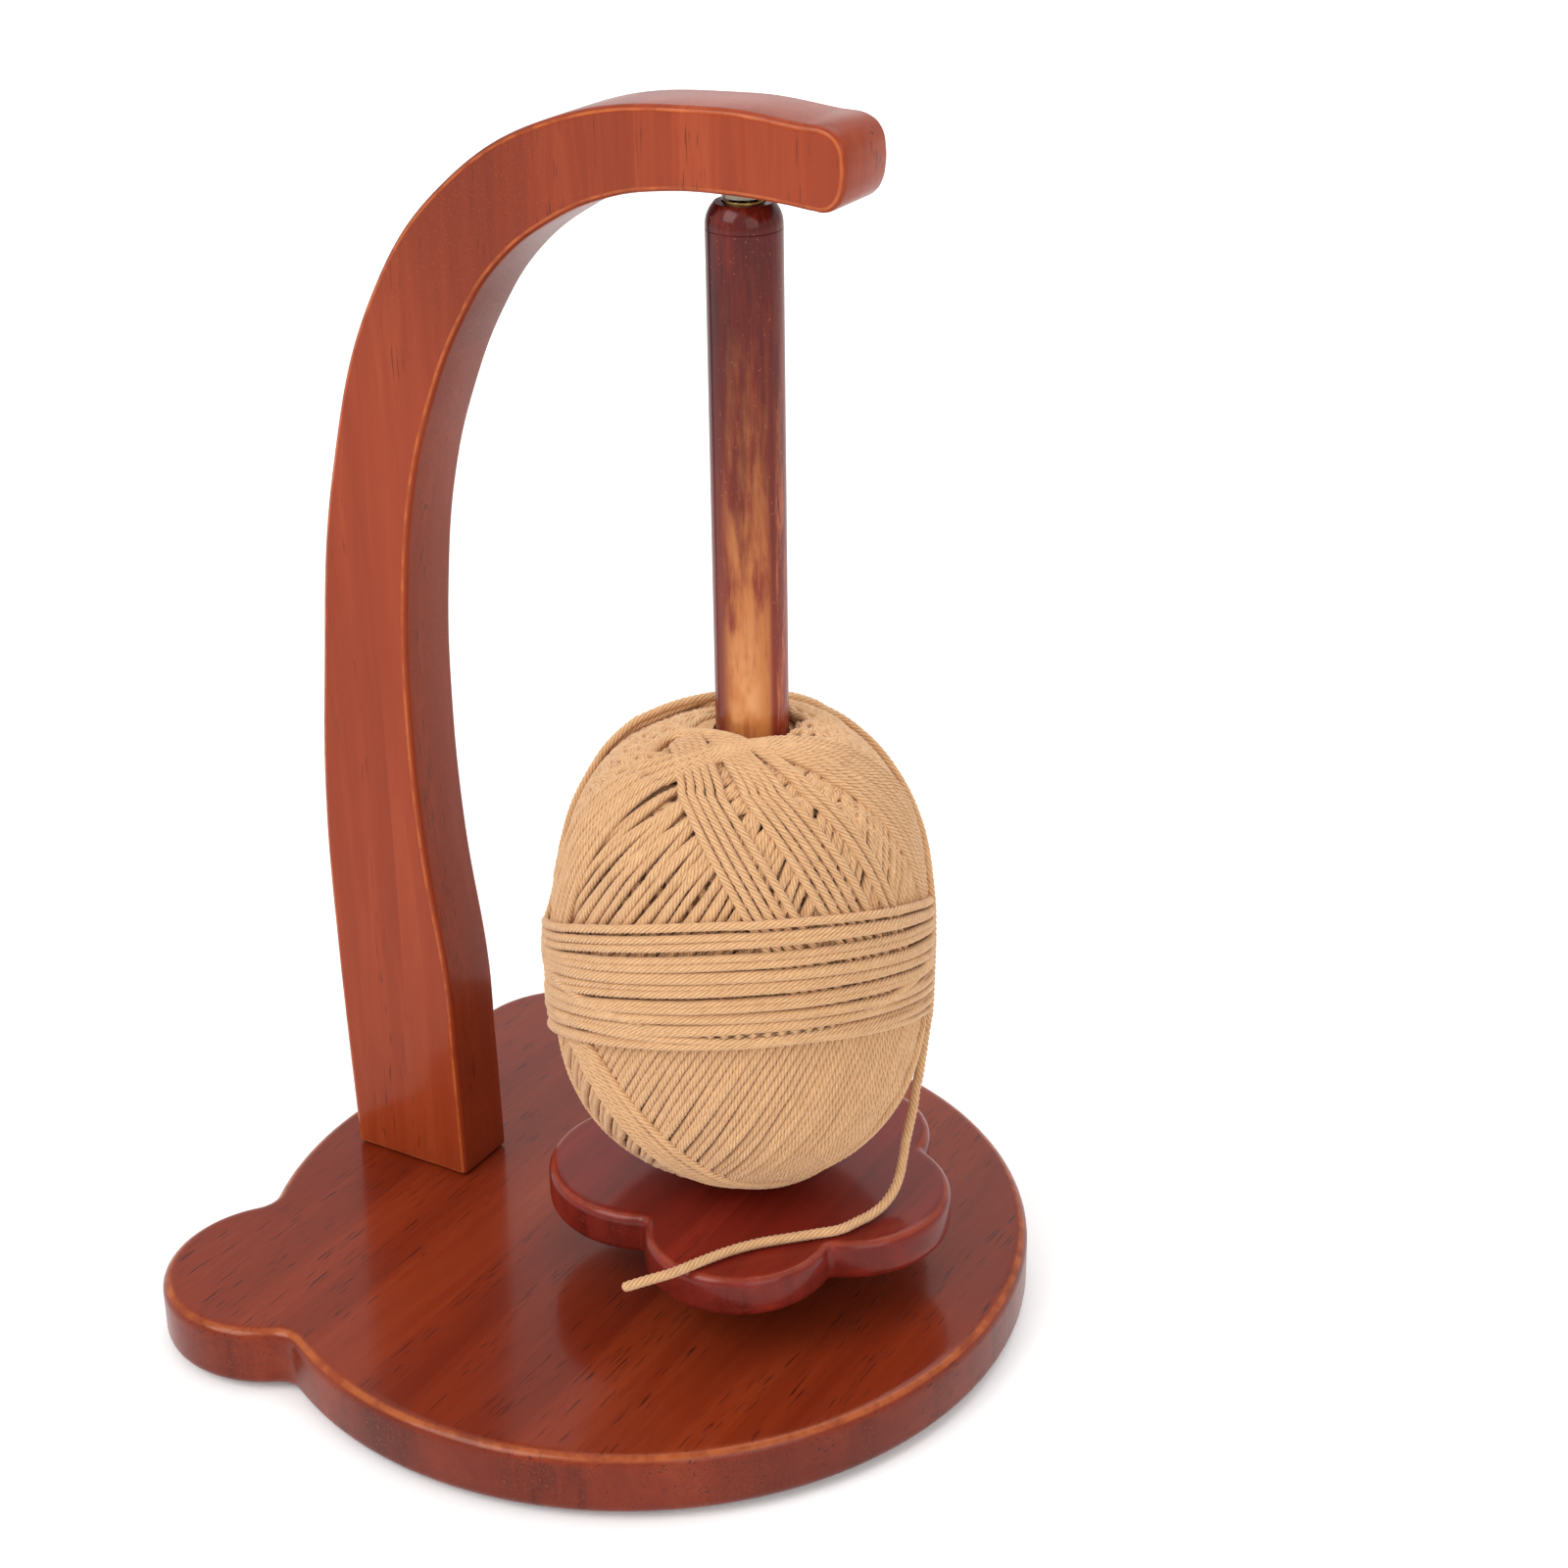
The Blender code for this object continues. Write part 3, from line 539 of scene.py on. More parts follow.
def tidy(piece):
    """Merges doubles and turns the faces outwards."""
    edit(piece)
    bpy.ops.mesh.remove_doubles(threshold=weld)
    bpy.ops.mesh.normals_make_consistent(inside=False)
    leave_edit()


def bore(piece, centre, radius, bottom, top, narrow=None):
    """Drills a round hole, or with narrow, one that tapers to that radius at its top."""
    deselect_all()
    end = radius if narrow is None else narrow
    bpy.ops.mesh.primitive_cone_add(vertices=bore_sides, radius1=radius, radius2=end, depth=top - bottom,
                                    location=(centre.x, centre.y, (bottom + top) / 2))
    carve(piece, bpy.context.object)


def carve(piece, tool):
    only(piece)
    cut = piece.modifiers.new("cut", 'BOOLEAN')
    cut.object = tool
    cut.solver = 'EXACT'
    cut.operation = 'DIFFERENCE'
    bpy.ops.object.modifier_apply(modifier=cut.name)
    bpy.data.objects.remove(tool)


def finish_piece(piece, name, material, body, node):
    """Names the piece, applies its place, and has it ride on its body in place of its node."""
    apply_place(piece)
    piece.name = name
    piece.data.name = name
    piece.data.materials.clear()
    piece.data.materials.append(material)
    bpy.ops.object.shade_smooth_by_angle(angle=smooth_angle)
    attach(piece, body)
    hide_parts(node)
    deselect_all()


def arc_points(centre, radius, start, end, step=radians(2.5)):
    count = max(2, round(abs(end - start) / step))
    angles = [start + (end - start) * i / count for i in range(count + 1)]
    return [(centre[0] + radius * cos(a), centre[1] + radius * sin(a)) for a in angles]


def on_circle(turn, radius):
    return Vector((cos(turn), sin(turn))) * radius


def lobed_outline(discs, notch_round):
    """The outline round overlapping discs, each (centre, radius), with a round notch between two."""
    notches = []
    for (first, first_radius), (second, second_radius) in zip(discs, discs[1:] + discs[:1]):
        apart = (second - first).length
        to_first = first_radius + notch_round
        to_second = second_radius + notch_round
        along = (apart ** 2 + to_first ** 2 - to_second ** 2) / (2 * apart)
        out = sqrt(to_first ** 2 - along ** 2)
        way = (second - first) / apart
        notches.append(first + way * along + Vector((way.y, -way.x)) * out)
    outline = []
    for i, (centre, radius) in enumerate(discs):
        arrive = notches[i - 1] - centre
        leave = notches[i] - centre
        start = atan2(arrive.y, arrive.x)
        sweep = (atan2(leave.y, leave.x) - start) % (2 * pi)
        outline += arc_points(centre, radius, start, start + sweep)[1:-1]
        back = centre - notches[i]
        onward = discs[(i + 1) % len(discs)][0] - notches[i]
        start = atan2(back.y, back.x)
        sweep = (start - atan2(onward.y, onward.x)) % (2 * pi)
        outline += arc_points(notches[i], notch_round, start, start - sweep, radians(8))
    return outline


def round_selected(piece, width, segments, inset):
    """Rounds the selected edges, and insets the large faces beside them to keep these flat."""
    bpy.ops.mesh.bevel(offset=width, offset_type='OFFSET', segments=segments, profile=0.5, affect='EDGES',
                       clamp_overlap=False)
    leave_edit()
    select_where(piece, "polygons", lambda face: len(face.vertices) > large_face)
    bpy.ops.mesh.inset(thickness=inset, use_individual=True)
    leave_edit()


def sawn_board(outline, bottom, top, rounding):
    """A level board: a circle of vertices moved onto the outline, extruded, its rims rounded."""
    deselect_all()
    bpy.ops.mesh.primitive_circle_add(vertices=len(outline), radius=disc_radius, fill_type='NGON')
    board = bpy.context.object
    for vertex, (x, y) in zip(board.data.vertices, outline):
        vertex.co = (x, y, bottom)
    edit(board)
    bpy.ops.mesh.extrude_region_move(TRANSFORM_OT_translate={"value": (0, 0, top - bottom)})
    leave_edit()
    tidy(board)

    def on_rim(edge):
        heights = [board.data.vertices[v].co.z for v in edge.vertices]
        return any(all(abs(z - rim) < weld for z in heights) for rim in (top, bottom))
    select_where(board, "edges", on_rim)
    round_selected(board, rounding, rim_steps, rounding / 4)
    return board


def turned(profile, centre, steps=turned_sides, closed=False):
    """A profile of (radius, height) points, drawn beside the axis and spun round it."""
    deselect_all()
    bpy.ops.mesh.primitive_circle_add(vertices=len(profile), radius=disc_radius)
    piece = bpy.context.object
    for vertex, (radius, height) in zip(piece.data.vertices, profile):
        vertex.co = (radius, 0, height)
    if not closed:
        last = len(profile) - 1
        select_where(piece, "edges", lambda edge: set(edge.vertices) == {0, last})
        bpy.ops.mesh.delete(type='EDGE_FACE')
        leave_edit()
    edit(piece)
    bpy.ops.mesh.spin(steps=steps, angle=2 * pi, center=(0, 0, 0), axis=(0, 0, 1))
    leave_edit()
    tidy(piece)
    piece.location = (centre.x, centre.y, 0)
    apply_place(piece)
    return piece


def rounded(corner, radius, start):
    """Points along a quarter circle that rounds a corner, from the angle start, clockwise."""
    return arc_points(corner, radius, start, start - pi / 2, pi / 2 / corner_steps)


def thread(top, pitch, turns, ridge):
    """Points down a thread: those of its ridge, each (radius, drop), once for every turn."""
    return [(radius, top - i * pitch - drop) for i in range(turns) for radius, drop in ridge]


def colour_property(name, description, *colour):
    return bpy.props.FloatVectorProperty(name=name, description=description, subtype='COLOR', size=3,
                                         min=0, max=1, default=paint(*colour))


def length_property(name, description, default, least):
    return bpy.props.FloatProperty(name=name, description=description, default=default * mm, min=least * mm,
                                   unit='LENGTH')


class HolderWood(bpy.types.PropertyGroup):
    darkest: colour_property("Darkest stain", "The arm's stain in the late wood and the pores", 118, 40, 18)
    middle: colour_property("Middle stain", "The stain over most of the arm", 148, 58, 28)
    lightest: colour_property("Lightest stain", "The arm's stain on the early wood", 172, 78, 42)
    worn: colour_property("Worn edge", "The arm's wood where the stain is rubbed off", 206, 112, 58)


class HolderYarn(bpy.types.PropertyGroup):
    diameter: length_property("Diameter", "Thickness of the loose yarn", 2.5, 1)
    wound: length_property("Wound diameter", "Thickness of the yarn where it is wound tight", 2.15, 1)
    plies: bpy.props.IntProperty(
        name="Plies", description="Threads twisted into the yarn", default=6, min=3, max=8)
    lay: length_property("Lay", "Length in which a thread goes once round", 9, 4)
    light: colour_property("Yarn", "Colour of the yarn", 231, 185, 136)
    dark: colour_property("Yarn in shade", "Colour between the threads", 176, 124, 78)


class HolderStage(bpy.types.PropertyGroup):
    key_power: bpy.props.FloatProperty(
        name="Key light", description="Power of the large soft light", default=14.5, min=0, unit='POWER')
    sky: bpy.props.FloatProperty(
        name="Sky", description="Strength of the light from all round", default=0.7, min=0)


class HOLDER_OT_stage(bpy.types.Operator):
    """Adds the camera, the pale floor and the soft lights"""
    bl_idname = "holder.stage"
    bl_label = "Stage"

    def execute(self, context):
        settings = context.scene.holder_stage
        self.add_camera(context.scene)
        self.add_floor()
        self.add_lamps(settings.key_power)
        self.add_sky(context.scene, settings.sky)
        context.scene.view_settings.view_transform = 'Standard'
        return {'FINISHED'}

    def add_camera(self, scene):
        deselect_all()
        bpy.ops.object.camera_add(location=view_place)
        camera = bpy.context.object
        back = Vector((sin(view_turn) * cos(view_tilt), -cos(view_turn) * cos(view_tilt), sin(view_tilt)))
        right = Vector((cos(view_turn), sin(view_turn), 0))
        up = back.cross(right)
        turned_right = right * cos(view_roll) + up * sin(view_roll)
        turned_up = up * cos(view_roll) - right * sin(view_roll)
        camera.rotation_euler = Matrix((turned_right, turned_up, back)).transposed().to_euler()
        camera.data.lens = view_lens
        scene.camera = camera

    def add_floor(self):
        deselect_all()
        bpy.ops.mesh.primitive_plane_add(size=floor_width)
        floor = bpy.context.object
        floor.name = "floor"
        finish = Finish("pale_floor", Roughness=0.9, Specular_IOR_Level=0.1, Emission_Strength=1.0)
        grain = finish.noise(finish.place(), 3.0, 2.0)
        colour = finish.mix(grain, (0.95, 0.95, 0.95), (0.97, 0.97, 0.97))
        away = finish.vector('LENGTH', finish.place(), output=1)
        seen = finish.rays_of(white_rays) * (away.above(0.4, 1.6) * 0.4 + 0.1)
        floor.data.materials.append(finish.shade(Base_Color=colour, Emission_Color=seen))

    def add_lamps(self, key_power):
        for name, place, width, share in lamps:
            deselect_all()
            bpy.ops.object.light_add(type='AREA', location=place)
            lamp = bpy.context.object
            lamp.name = name
            lamp.data.size = width
            lamp.data.energy = key_power * share
            lamp.rotation_euler = (lamp_aim - Vector(place)).to_track_quat('-Z', 'Y').to_euler()

    def add_sky(self, scene, strength):
        """Light from all round, stronger overhead, and white where it is seen or mirrored."""
        sky = Sky("sky")
        height = sky.split(sky.node("ShaderNodeTexCoord", output="Generated"))[2]
        light = height.above(0, 0.8) * (strength * 0.8) + strength * 0.45
        seen = sky.rays_of(white_rays)
        scene.world = sky.shade(Strength=light + (1 - light) * seen)


class HOLDER_OT_base(bpy.types.Operator):
    """Models the round base board with its two ears"""
    bl_idname = "holder.base"
    bl_label = "Base board"

    def execute(self, context):
        left = (on_circle(pi - ear_angle, ear_ring_radius), ear_radius)
        right = (on_circle(pi + ear_angle, ear_ring_radius), ear_radius)
        disc = (Vector((0, 0)), disc_radius)
        outline = lobed_outline([disc, left, disc, right], ear_notch_round)
        board = sawn_board(outline, board_low.z, board_high.z, board_edge_round)
        below = board_low.z - cut_over
        for side in arm_sides:
            _, _, centre, _ = packed("arm_screw_" + side)
            bore(board, centre, arm_screw_radius + bore_gap, below, board_high.z + cut_over)
            bore(board, centre, counterbore_radius, below, board_low.z + counterbore_depth)
        tones = [paint(98, 29, 13), paint(122, 42, 18), paint(144, 58, 27), paint(190, 102, 48)]
        rim = level_rim(board_high.z, board_edge_round, 0.55)
        bands = banded_side(board_high.z, board_edge_round)
        stain = lacquered_wood("base_wood", 1, tones, rim, bands, stave=44 * mm, seed=0.37, pore_share=0.8)
        finish_piece(board, "round_base", stain, "frame", "base_board")
        return {'FINISHED'}


class HOLDER_OT_pads(bpy.types.Operator):
    """Models the rubber pads under the base"""
    bl_idname = "holder.pads"
    bl_label = "Rubber pads"

    def execute(self, context):
        finish = rubber("black_rubber")
        _, high, _, radius = packed("foot_pad_1")
        corner = (radius - pad_edge_round, pad_edge_round)
        profile = [(0, high.z), (radius, high.z)] + rounded(corner, pad_edge_round, 0) + [(0, 0)]
        for i in range(4):
            node = f"foot_pad_{i + 1}"
            pad = turned(profile, packed(node)[2], small_sides)
            finish_piece(pad, f"rubber_pad_{i + 1}", finish, "frame", node)
        return {'FINISHED'}


class HOLDER_OT_arm(bpy.types.Operator):
    """Models the arched arm from its sawn outline"""
    bl_idname = "holder.arm"
    bl_label = "Arched arm"

    def execute(self, context):
        arm = self.sawn_arm()
        self.round_edges(arm)
        bore(arm, spindle, pot_radius + bore_gap, pot_low.z - cut_over, pot_high.z + seat_gap)
        below = arm_low.z - cut_over
        for side in arm_sides:
            _, high, centre, radius = packed("arm_insert_" + side)
            screw_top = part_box("arm_screw_" + side)[1].z
            bore(arm, centre, arm_screw_radius + bore_gap, below, screw_top + seat_gap * 2)
            bore(arm, centre, radius + bore_gap, below, high.z + seat_gap)
        wood = context.scene.holder_wood
        tones = [tuple(stain) for stain in (wood.darkest, wood.middle, wood.lightest, wood.worn)]
        rim = upright_rim(arm_high.y, arm_edge_round, 0.55)
        bend = (arm_low.x + arm_reach * 0.30, 0, arm_low.z + arm_height * 0.93)
        # Painted shade: the arm's edges and the part round its bend are darkened
        shade = arm_shade(arm_high.y, arm_edge_round, bend, arm_reach * 0.5, arm_high.x)
        stain = lacquered_wood("arm_wood", 2, tones, rim, shade, stave=27 * mm, seed=0.11, coat=0.26)
        finish_piece(arm, "sawn_arm", stain, "frame", "arch_arm")
        return {'FINISHED'}

    def sawn_arm(self):
        def place(share):
            return arm_foot_back + arm_reach * share[0], arm_low.z + arm_height * share[1]
        knots = [(arm_foot_back, arm_low.z)]
        knots += [place(share) for share in arm_outer_shares + arm_nose_shares]
        knots.append((spindle_x, seat_height))
        knots += [place(share) for share in arm_inner_shares]
        knots.append((arm_foot_back + arm_foot_width, arm_low.z))
        deselect_all()
        bpy.ops.curve.primitive_bezier_curve_add(radius=arm_reach)
        arm = bpy.context.object
        curve = arm.data
        spline = curve.splines[0]
        spline.bezier_points.add(len(knots) - 2)
        for i, (knot, (x, z)) in enumerate(zip(spline.bezier_points, knots)):
            kind = 'VECTOR' if i in (0, len(knots) - 1) else 'AUTO'
            knot.co = (x, z, 0)
            knot.handle_left_type = kind
            knot.handle_right_type = kind
        spline.use_cyclic_u = True
        spline.resolution_u = 14
        curve.dimensions = '2D'
        curve.fill_mode = 'BOTH'
        curve.extrude = arm_high.y
        arm.location = (0, 0, 0)
        arm.rotation_euler = (pi / 2, 0, 0)
        only(arm)
        bpy.ops.object.convert(target='MESH')
        arm = bpy.context.object
        apply_place(arm)
        tidy(arm)
        for side in (-1, 1):
            select_where(arm, "polygons", lambda face: face.normal.y * side > 0.99)
            bpy.ops.mesh.dissolve_faces()
            leave_edit()
        return arm

    def round_edges(self, arm):
        edit(arm, 'DESELECT')
        bpy.context.tool_settings.mesh_select_mode = (False, True, False)
        bpy.ops.mesh.edges_select_sharp(sharpness=radians(60))
        round_selected(arm, arm_edge_round, 4, arm_edge_round / 3)


class HOLDER_OT_magnet(bpy.types.Operator):
    """Models the steel pot in the arm's underside and the magnet inside it"""
    bl_idname = "holder.magnet"
    bl_label = "Magnet"

    def execute(self, context):
        steel = metal("pot_steel", (0.26, 0.22, 0.17), 0.32)
        nickel = metal("magnet_nickel", (0.45, 0.45, 0.47), 0.22)
        low, high, _, radius = packed("arm_magnet")
        edge = pot_edge_round
        inside = pot_radius - pot_wall
        roof = high.z + seat_gap
        pot = [(0, pot_high.z)] + rounded((pot_radius - edge, pot_high.z - edge), edge, pi / 2)
        pot += rounded((pot_radius - edge, pot_low.z + edge), edge, 0)
        pot += [(inside, pot_low.z), (inside, roof), (0, roof)]
        finish_piece(turned(pot, spindle), "steel_pot", steel, "frame", "magnet_pot")
        magnet = [(0, high.z), (radius, high.z)]
        magnet += rounded((radius - edge, low.z + edge), edge, 0) + [(0, low.z)]
        finish_piece(turned(magnet, spindle), "disc_magnet", nickel, "frame", "arm_magnet")
        return {'FINISHED'}


class HOLDER_OT_pivot(bpy.types.Operator):
    """Models the pivot ball, the brass cup it turns in and the cup's screw"""
    bl_idname = "holder.pivot"
    bl_label = "Pivot"

    def execute(self, context):
        steel = metal("ball_steel", (0.62, 0.62, 0.64), 0.20)
        brass = metal("cup_brass", (0.42, 0.26, 0.09), 0.30)
        self.add_ball(steel)
        low, high, _, head = packed("cup_screw")
        self.add_cup(brass, head, high.z + seat_gap)
        self.add_screw(steel, head, low.z, high.z)
        return {'FINISHED'}

    def add_ball(self, steel):
        low, high, _, radius = packed("pivot_ball")
        deselect_all()
        bpy.ops.mesh.primitive_uv_sphere_add(segments=48, ring_count=24, radius=radius,
                                             location=(spindle_x, 0, (low.z + high.z) / 2))
        finish_piece(bpy.context.object, "steel_ball", steel, "pivot", "pivot_ball")

    def add_cup(self, brass, head, floor):
        inner = cup_radius - cup_wall
        hole = cup_screw_radius + bore_gap
        corner = (cup_radius - cup_lip, cup_high.z - cup_lip)
        profile = [(inner, cup_high.z - cup_lip)] + rounded(corner, cup_lip, pi / 2)
        profile += [(cup_radius, cup_low.z), (hole, cup_low.z), (hole, floor - cup_countersink)]
        profile += [(head + bore_gap, floor), (inner, floor)]
        cup = turned(profile, spindle, closed=True)
        finish_piece(cup, "brass_cup", brass, "spindle", "pivot_cup")

    def add_screw(self, steel, head, low, high):
        shank = cup_screw_radius
        foot = shank * 0.78
        under = high - cup_screw_head_height
        pitch = (under - low - shank * 2) / wood_screw_turns
        ridge = [(shank, 0), (foot, 0.2 * mm), (foot, 0.4 * mm)]
        screw = [(0, high), (head, high), (shank, under)]
        screw += thread(under - pitch / 2, pitch, wood_screw_turns, ridge)
        screw += [(shank, low + shank * 2), (shank / 4, low), (0, low)]
        finish_piece(turned(screw, spindle, 48), "small_screw", steel, "spindle", "cup_screw")


class HOLDER_OT_screws(bpy.types.Operator):
    """Models the screws and threaded inserts that hold the arm, and the screw under the plate"""
    bl_idname = "holder.screws"
    bl_label = "Screws"

    def execute(self, context):
        zinc = metal("zinc_screw", (0.66, 0.58, 0.36), 0.30)
        brass = metal("insert_brass", (0.66, 0.48, 0.20), 0.32)
        for side in arm_sides:
            self.machine_screw("arm_screw_" + side, "pan_screw_" + side, zinc)
            self.insert("arm_insert_" + side, "threaded_insert_" + side, brass)
        steel = metal("plate_screw_steel", (0.60, 0.60, 0.62), 0.28)
        self.wood_screw("plate_screw", "countersunk_screw", steel)
        return {'FINISHED'}

    def cross(self, screw, centre, low, size):
        """Cuts the cross in a screw's head, which faces down."""
        mouth = (centre.x, centre.y, low.z)
        for turn in (0, pi / 2):
            deselect_all()
            bpy.ops.mesh.primitive_cube_add(size=1, location=mouth, rotation=(0, 0, turn))
            bar = bpy.context.object
            bar.scale = (size, size * cross_width_share, cross_bar_height)
            apply_place(bar)
            select_where(bar, "polygons", lambda face: face.normal.z > 0.9)
            bpy.ops.transform.resize(value=(cross_taper, cross_taper, 1), center_override=mouth)
            leave_edit()
            carve(screw, bar)

    def machine_screw(self, node, name, finish):
        low, high, centre, head = packed(node)
        under = low.z + arm_screw_head_height
        turns = int((high.z - under - 1 * mm) / arm_screw_pitch)
        ridge = [(arm_screw_radius, 0), (arm_screw_radius, 0.1 * mm), (arm_screw_groove, 0.4 * mm)]
        profile = [(0, high.z), (arm_screw_groove - 0.2 * mm, high.z)]
        profile += thread(high.z - 0.4 * mm, arm_screw_pitch, turns, ridge)
        profile += [(arm_screw_radius, under), (head, under), (head, under - 1.2 * mm)]
        middle = (head - 3.4 * mm, under + 1.1 * mm)
        profile += arc_points(middle, arm_screw_dome, radians(-35), radians(-75), radians(6))
        screw = turned(profile + [(0, low.z)], centre, small_sides)
        self.cross(screw, centre, low, arm_screw_cross)
        finish_piece(screw, name, finish, "frame", node)

    def insert(self, node, name, finish):
        low, high, centre, outer = packed(node)
        hole = arm_screw_radius + bore_gap
        foot = outer - insert_thread_depth
        pitch = (high.z - low.z) / insert_turns
        profile = [(hole, high.z)]
        profile += thread(high.z, pitch, insert_turns, [(foot, 0), (foot, pitch * 0.4), (outer, pitch * 0.7)])
        profile += [(outer - 0.3 * mm, low.z), (hole, low.z)]
        sleeve = turned(profile, centre, small_sides, closed=True)
        finish_piece(sleeve, name, finish, "frame", node)

    def wood_screw(self, node, name, finish):
        low, high, centre, head = packed(node)
        shank = plate_screw_radius
        foot = shank * 0.72
        under = low.z + plate_screw_head_height
        start = high.z - plate_screw_point
        pitch = (start - under - 3 * mm) / wood_screw_turns
        ridge = [(foot, 0.2 * mm), (shank, 0.9 * mm), (shank, 1.1 * mm), (foot, 1.7 * mm)]
        profile = [(0, high.z), (0.3 * mm, high.z), (foot, start)]
        profile += thread(start, pitch, wood_screw_turns, ridge)
        profile += [(shank, under + 1 * mm), (shank, under), (head, low.z), (0, low.z)]
        screw = turned(profile, centre, small_sides)
        self.cross(screw, centre, low, plate_screw_cross)
        finish_piece(screw, name, finish, "spindle", node)


class HOLDER_OT_post(bpy.types.Operator):
    """Models the round post, whose stain is rubbed thin towards the yarn"""
    bl_idname = "holder.post"
    bl_label = "Post"

    def execute(self, context):
        top = post_high.z
        line = top - post_line_drop
        groove = post_line_depth
        inset = post_radius - post_top_round
        flat_angle = acos((post_flat_radius - inset) / post_top_round)
        shoulder = (inset, top - post_top_round * sin(flat_angle))
        profile = [(0, top), (post_flat_radius - groove * 2, top)]
        profile += arc_points(shoulder, post_top_round, flat_angle, 0, radians(5))
        profile += [(post_radius, line + groove), (post_radius - groove, line), (post_radius, line - groove)]
        profile.append((post_radius, post_low.z + post_end_chamfer))
        profile += [(post_radius - post_end_chamfer, post_low.z), (0, post_low.z)]
        post = turned(profile, spindle)
        bore(post, spindle, cup_radius + bore_gap, cup_low.z - seat_gap, top + cut_over)
        cup_screw_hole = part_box("cup_screw")[0].z - seat_gap * 2
        bore(post, spindle, cup_screw_radius + bore_gap, cup_screw_hole, cup_low.z)
        plate_screw_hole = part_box("plate_screw")[1].z + seat_gap * 2
        bore(post, spindle, plate_screw_radius + bore_gap, post_low.z - cut_over, plate_screw_hole)
        finish_piece(post, "round_post", self.worn_stain(context), "spindle", "spindle_post")
        return {'FINISHED'}

    def worn_stain(self, context):
        """Dark stain at the top, worn to tan low down on the side that faces the front, and a painted dark
        reflection down its left side as seen from the front.
        """
        finish = Finish("post_wood", Coat_Weight=0.32, Coat_Roughness=0.10, Specular_IOR_Level=0.06)
        own = finish.split(finish.place())
        place = finish.place(scale=(1, 1, 0.07))
        broad = finish.noise(place, 150.0, 3.0, 0.6)
        fibre = finish.noise(place, 1300.0, 3.0, 0.7)
        colour = finish.ramp(broad * 0.7 + fibre * 0.3,
                             (0.38, paint(40, 7, 9)), (0.52, paint(82, 18, 14)), (0.68, paint(124, 40, 24)))
        facing = ((own[0] - spindle_x) * cos(front_heading) + own[1] * sin(front_heading)) / post_radius
        aside = ((own[0] - spindle_x) * cos(view_turn) + own[1] * sin(view_turn)) / post_radius
        front = facing.above(0.55, 0.98) * aside.below(0.45, 0.62)
        lower = own[2].below(150 * mm, 300 * mm)
        streaks = finish.noise(finish.place(scale=(1, 1, 0.14)), 420.0, 4.0, 0.65)
        patches = finish.noise(finish.place(scale=(1, 1, 0.5)), 150.0, 3.0)
        colour = finish.mix(lower * 0.75 * (facing + 0.2).above(0, 0.6), colour, paint(150, 58, 38))
        worn = front * lower * (streaks * 0.6 + patches * 0.4 + lower * 0.30).above(0.52, 0.80)
        colour = finish.mix(worn * 0.8, colour, paint(214, 140, 78))
        strip = aside.above(0.66, 0.74) * aside.below(0.90, 0.97) * own[2].below(190 * mm, 280 * mm)
        colour = finish.mix(strip * streaks.above(0.42, 0.62) * 0.8, colour, paint(196, 106, 66))
        bare = facing.above(0.72, 0.96) * aside.below(0.0, 0.4) * own[2].below(165 * mm, 205 * mm)
        colour = finish.mix(bare * patches.above(0.40, 0.62) * 0.55, colour, paint(232, 180, 124))
        # Painted reflection: a dark purple band down the post's left side, as seen from the front
        colour = finish.mix(aside.below(-1.0, -0.45) * 0.4, colour, paint(48, 12, 22))
        specks = finish.noise(finish.place(), 1500.0, 2.0).above(0.66, 0.76)
        colour = finish.mix(specks * 0.4, colour, paint(190, 118, 84))
        roughness = broad * 0.18 + fibre * 0.12 + 0.20
        normal = finish.bump(fibre + specks * 0.5, 0.05 * mm, 0.5)
        return finish.shade(Base_Color=colour, Roughness=roughness, Normal=normal)


class HOLDER_OT_plate(bpy.types.Operator):
    """Models the flower plate with its five lobes"""
    bl_idname = "holder.plate"
    bl_label = "Flower plate"

    def execute(self, context):
        lobes = [(spindle.xy + on_circle(radians(turn), ring), radius) for turn, ring, radius in plate_lobes]
        outline = lobed_outline(lobes, lobe_notch_round)
        plate = sawn_board(outline, plate_low.z, plate_high.z, plate_edge_round)
        head = packed("plate_screw")[3] + bore_gap
        hole = plate_screw_radius + bore_gap
        below = plate_low.z - cut_over
        bore(plate, spindle, post_radius + bore_gap, post_low.z - seat_gap, plate_high.z + cut_over)
        bore(plate, spindle, hole, below, post_low.z)
        bore(plate, spindle, head + cut_over, below, plate_low.z + plate_screw_seat, narrow=hole)
        tones = [paint(86, 23, 16), paint(126, 36, 25), paint(152, 56, 37), paint(186, 92, 56)]
        rim = level_rim(plate_high.z, plate_edge_round, 0.25)
        bands = banded_side(plate_high.z, plate_edge_round)
        stain = lacquered_wood("plate_wood", 1, tones, rim, bands, stave=70 * mm, seed=0.53, pore_share=0.2)
        finish_piece(plate, "lobed_plate", stain, "spindle", "flower_plate")
        return {'FINISHED'}


def share_of_oval(points, oval):
    """How far out each point lies, counted from the ball's middle to an oval surface.

    The surface is boxy at the ball's waist and rounder towards its two ends.
    """
    radius, height, depth = oval
    upper = points[:, 2] > 0
    across = np.hypot(points[:, 0], points[:, 1]) / radius
    up = np.abs(points[:, 2]) / np.where(upper, height, depth)
    end = np.arctan2(up, across) / (pi / 2)
    power = waist_power + (np.where(upper, upper_power, lower_power) - waist_power) * end
    return (across ** power + up ** power) ** (1 / power)


def on_oval(directions, oval):
    """Where rays from the ball's middle leave an oval surface."""
    return directions / share_of_oval(directions, oval)[:, None]


def oval_normals(points, oval):
    """Outward normals, from how fast the points' share of the oval grows each way."""
    steps = np.eye(3) * 0.05 * mm
    slopes = [share_of_oval(points + step, oval) - share_of_oval(points - step, oval) for step in steps]
    normals = np.stack(slopes, axis=1)
    return normals / np.linalg.norm(normals, axis=1)[:, None]


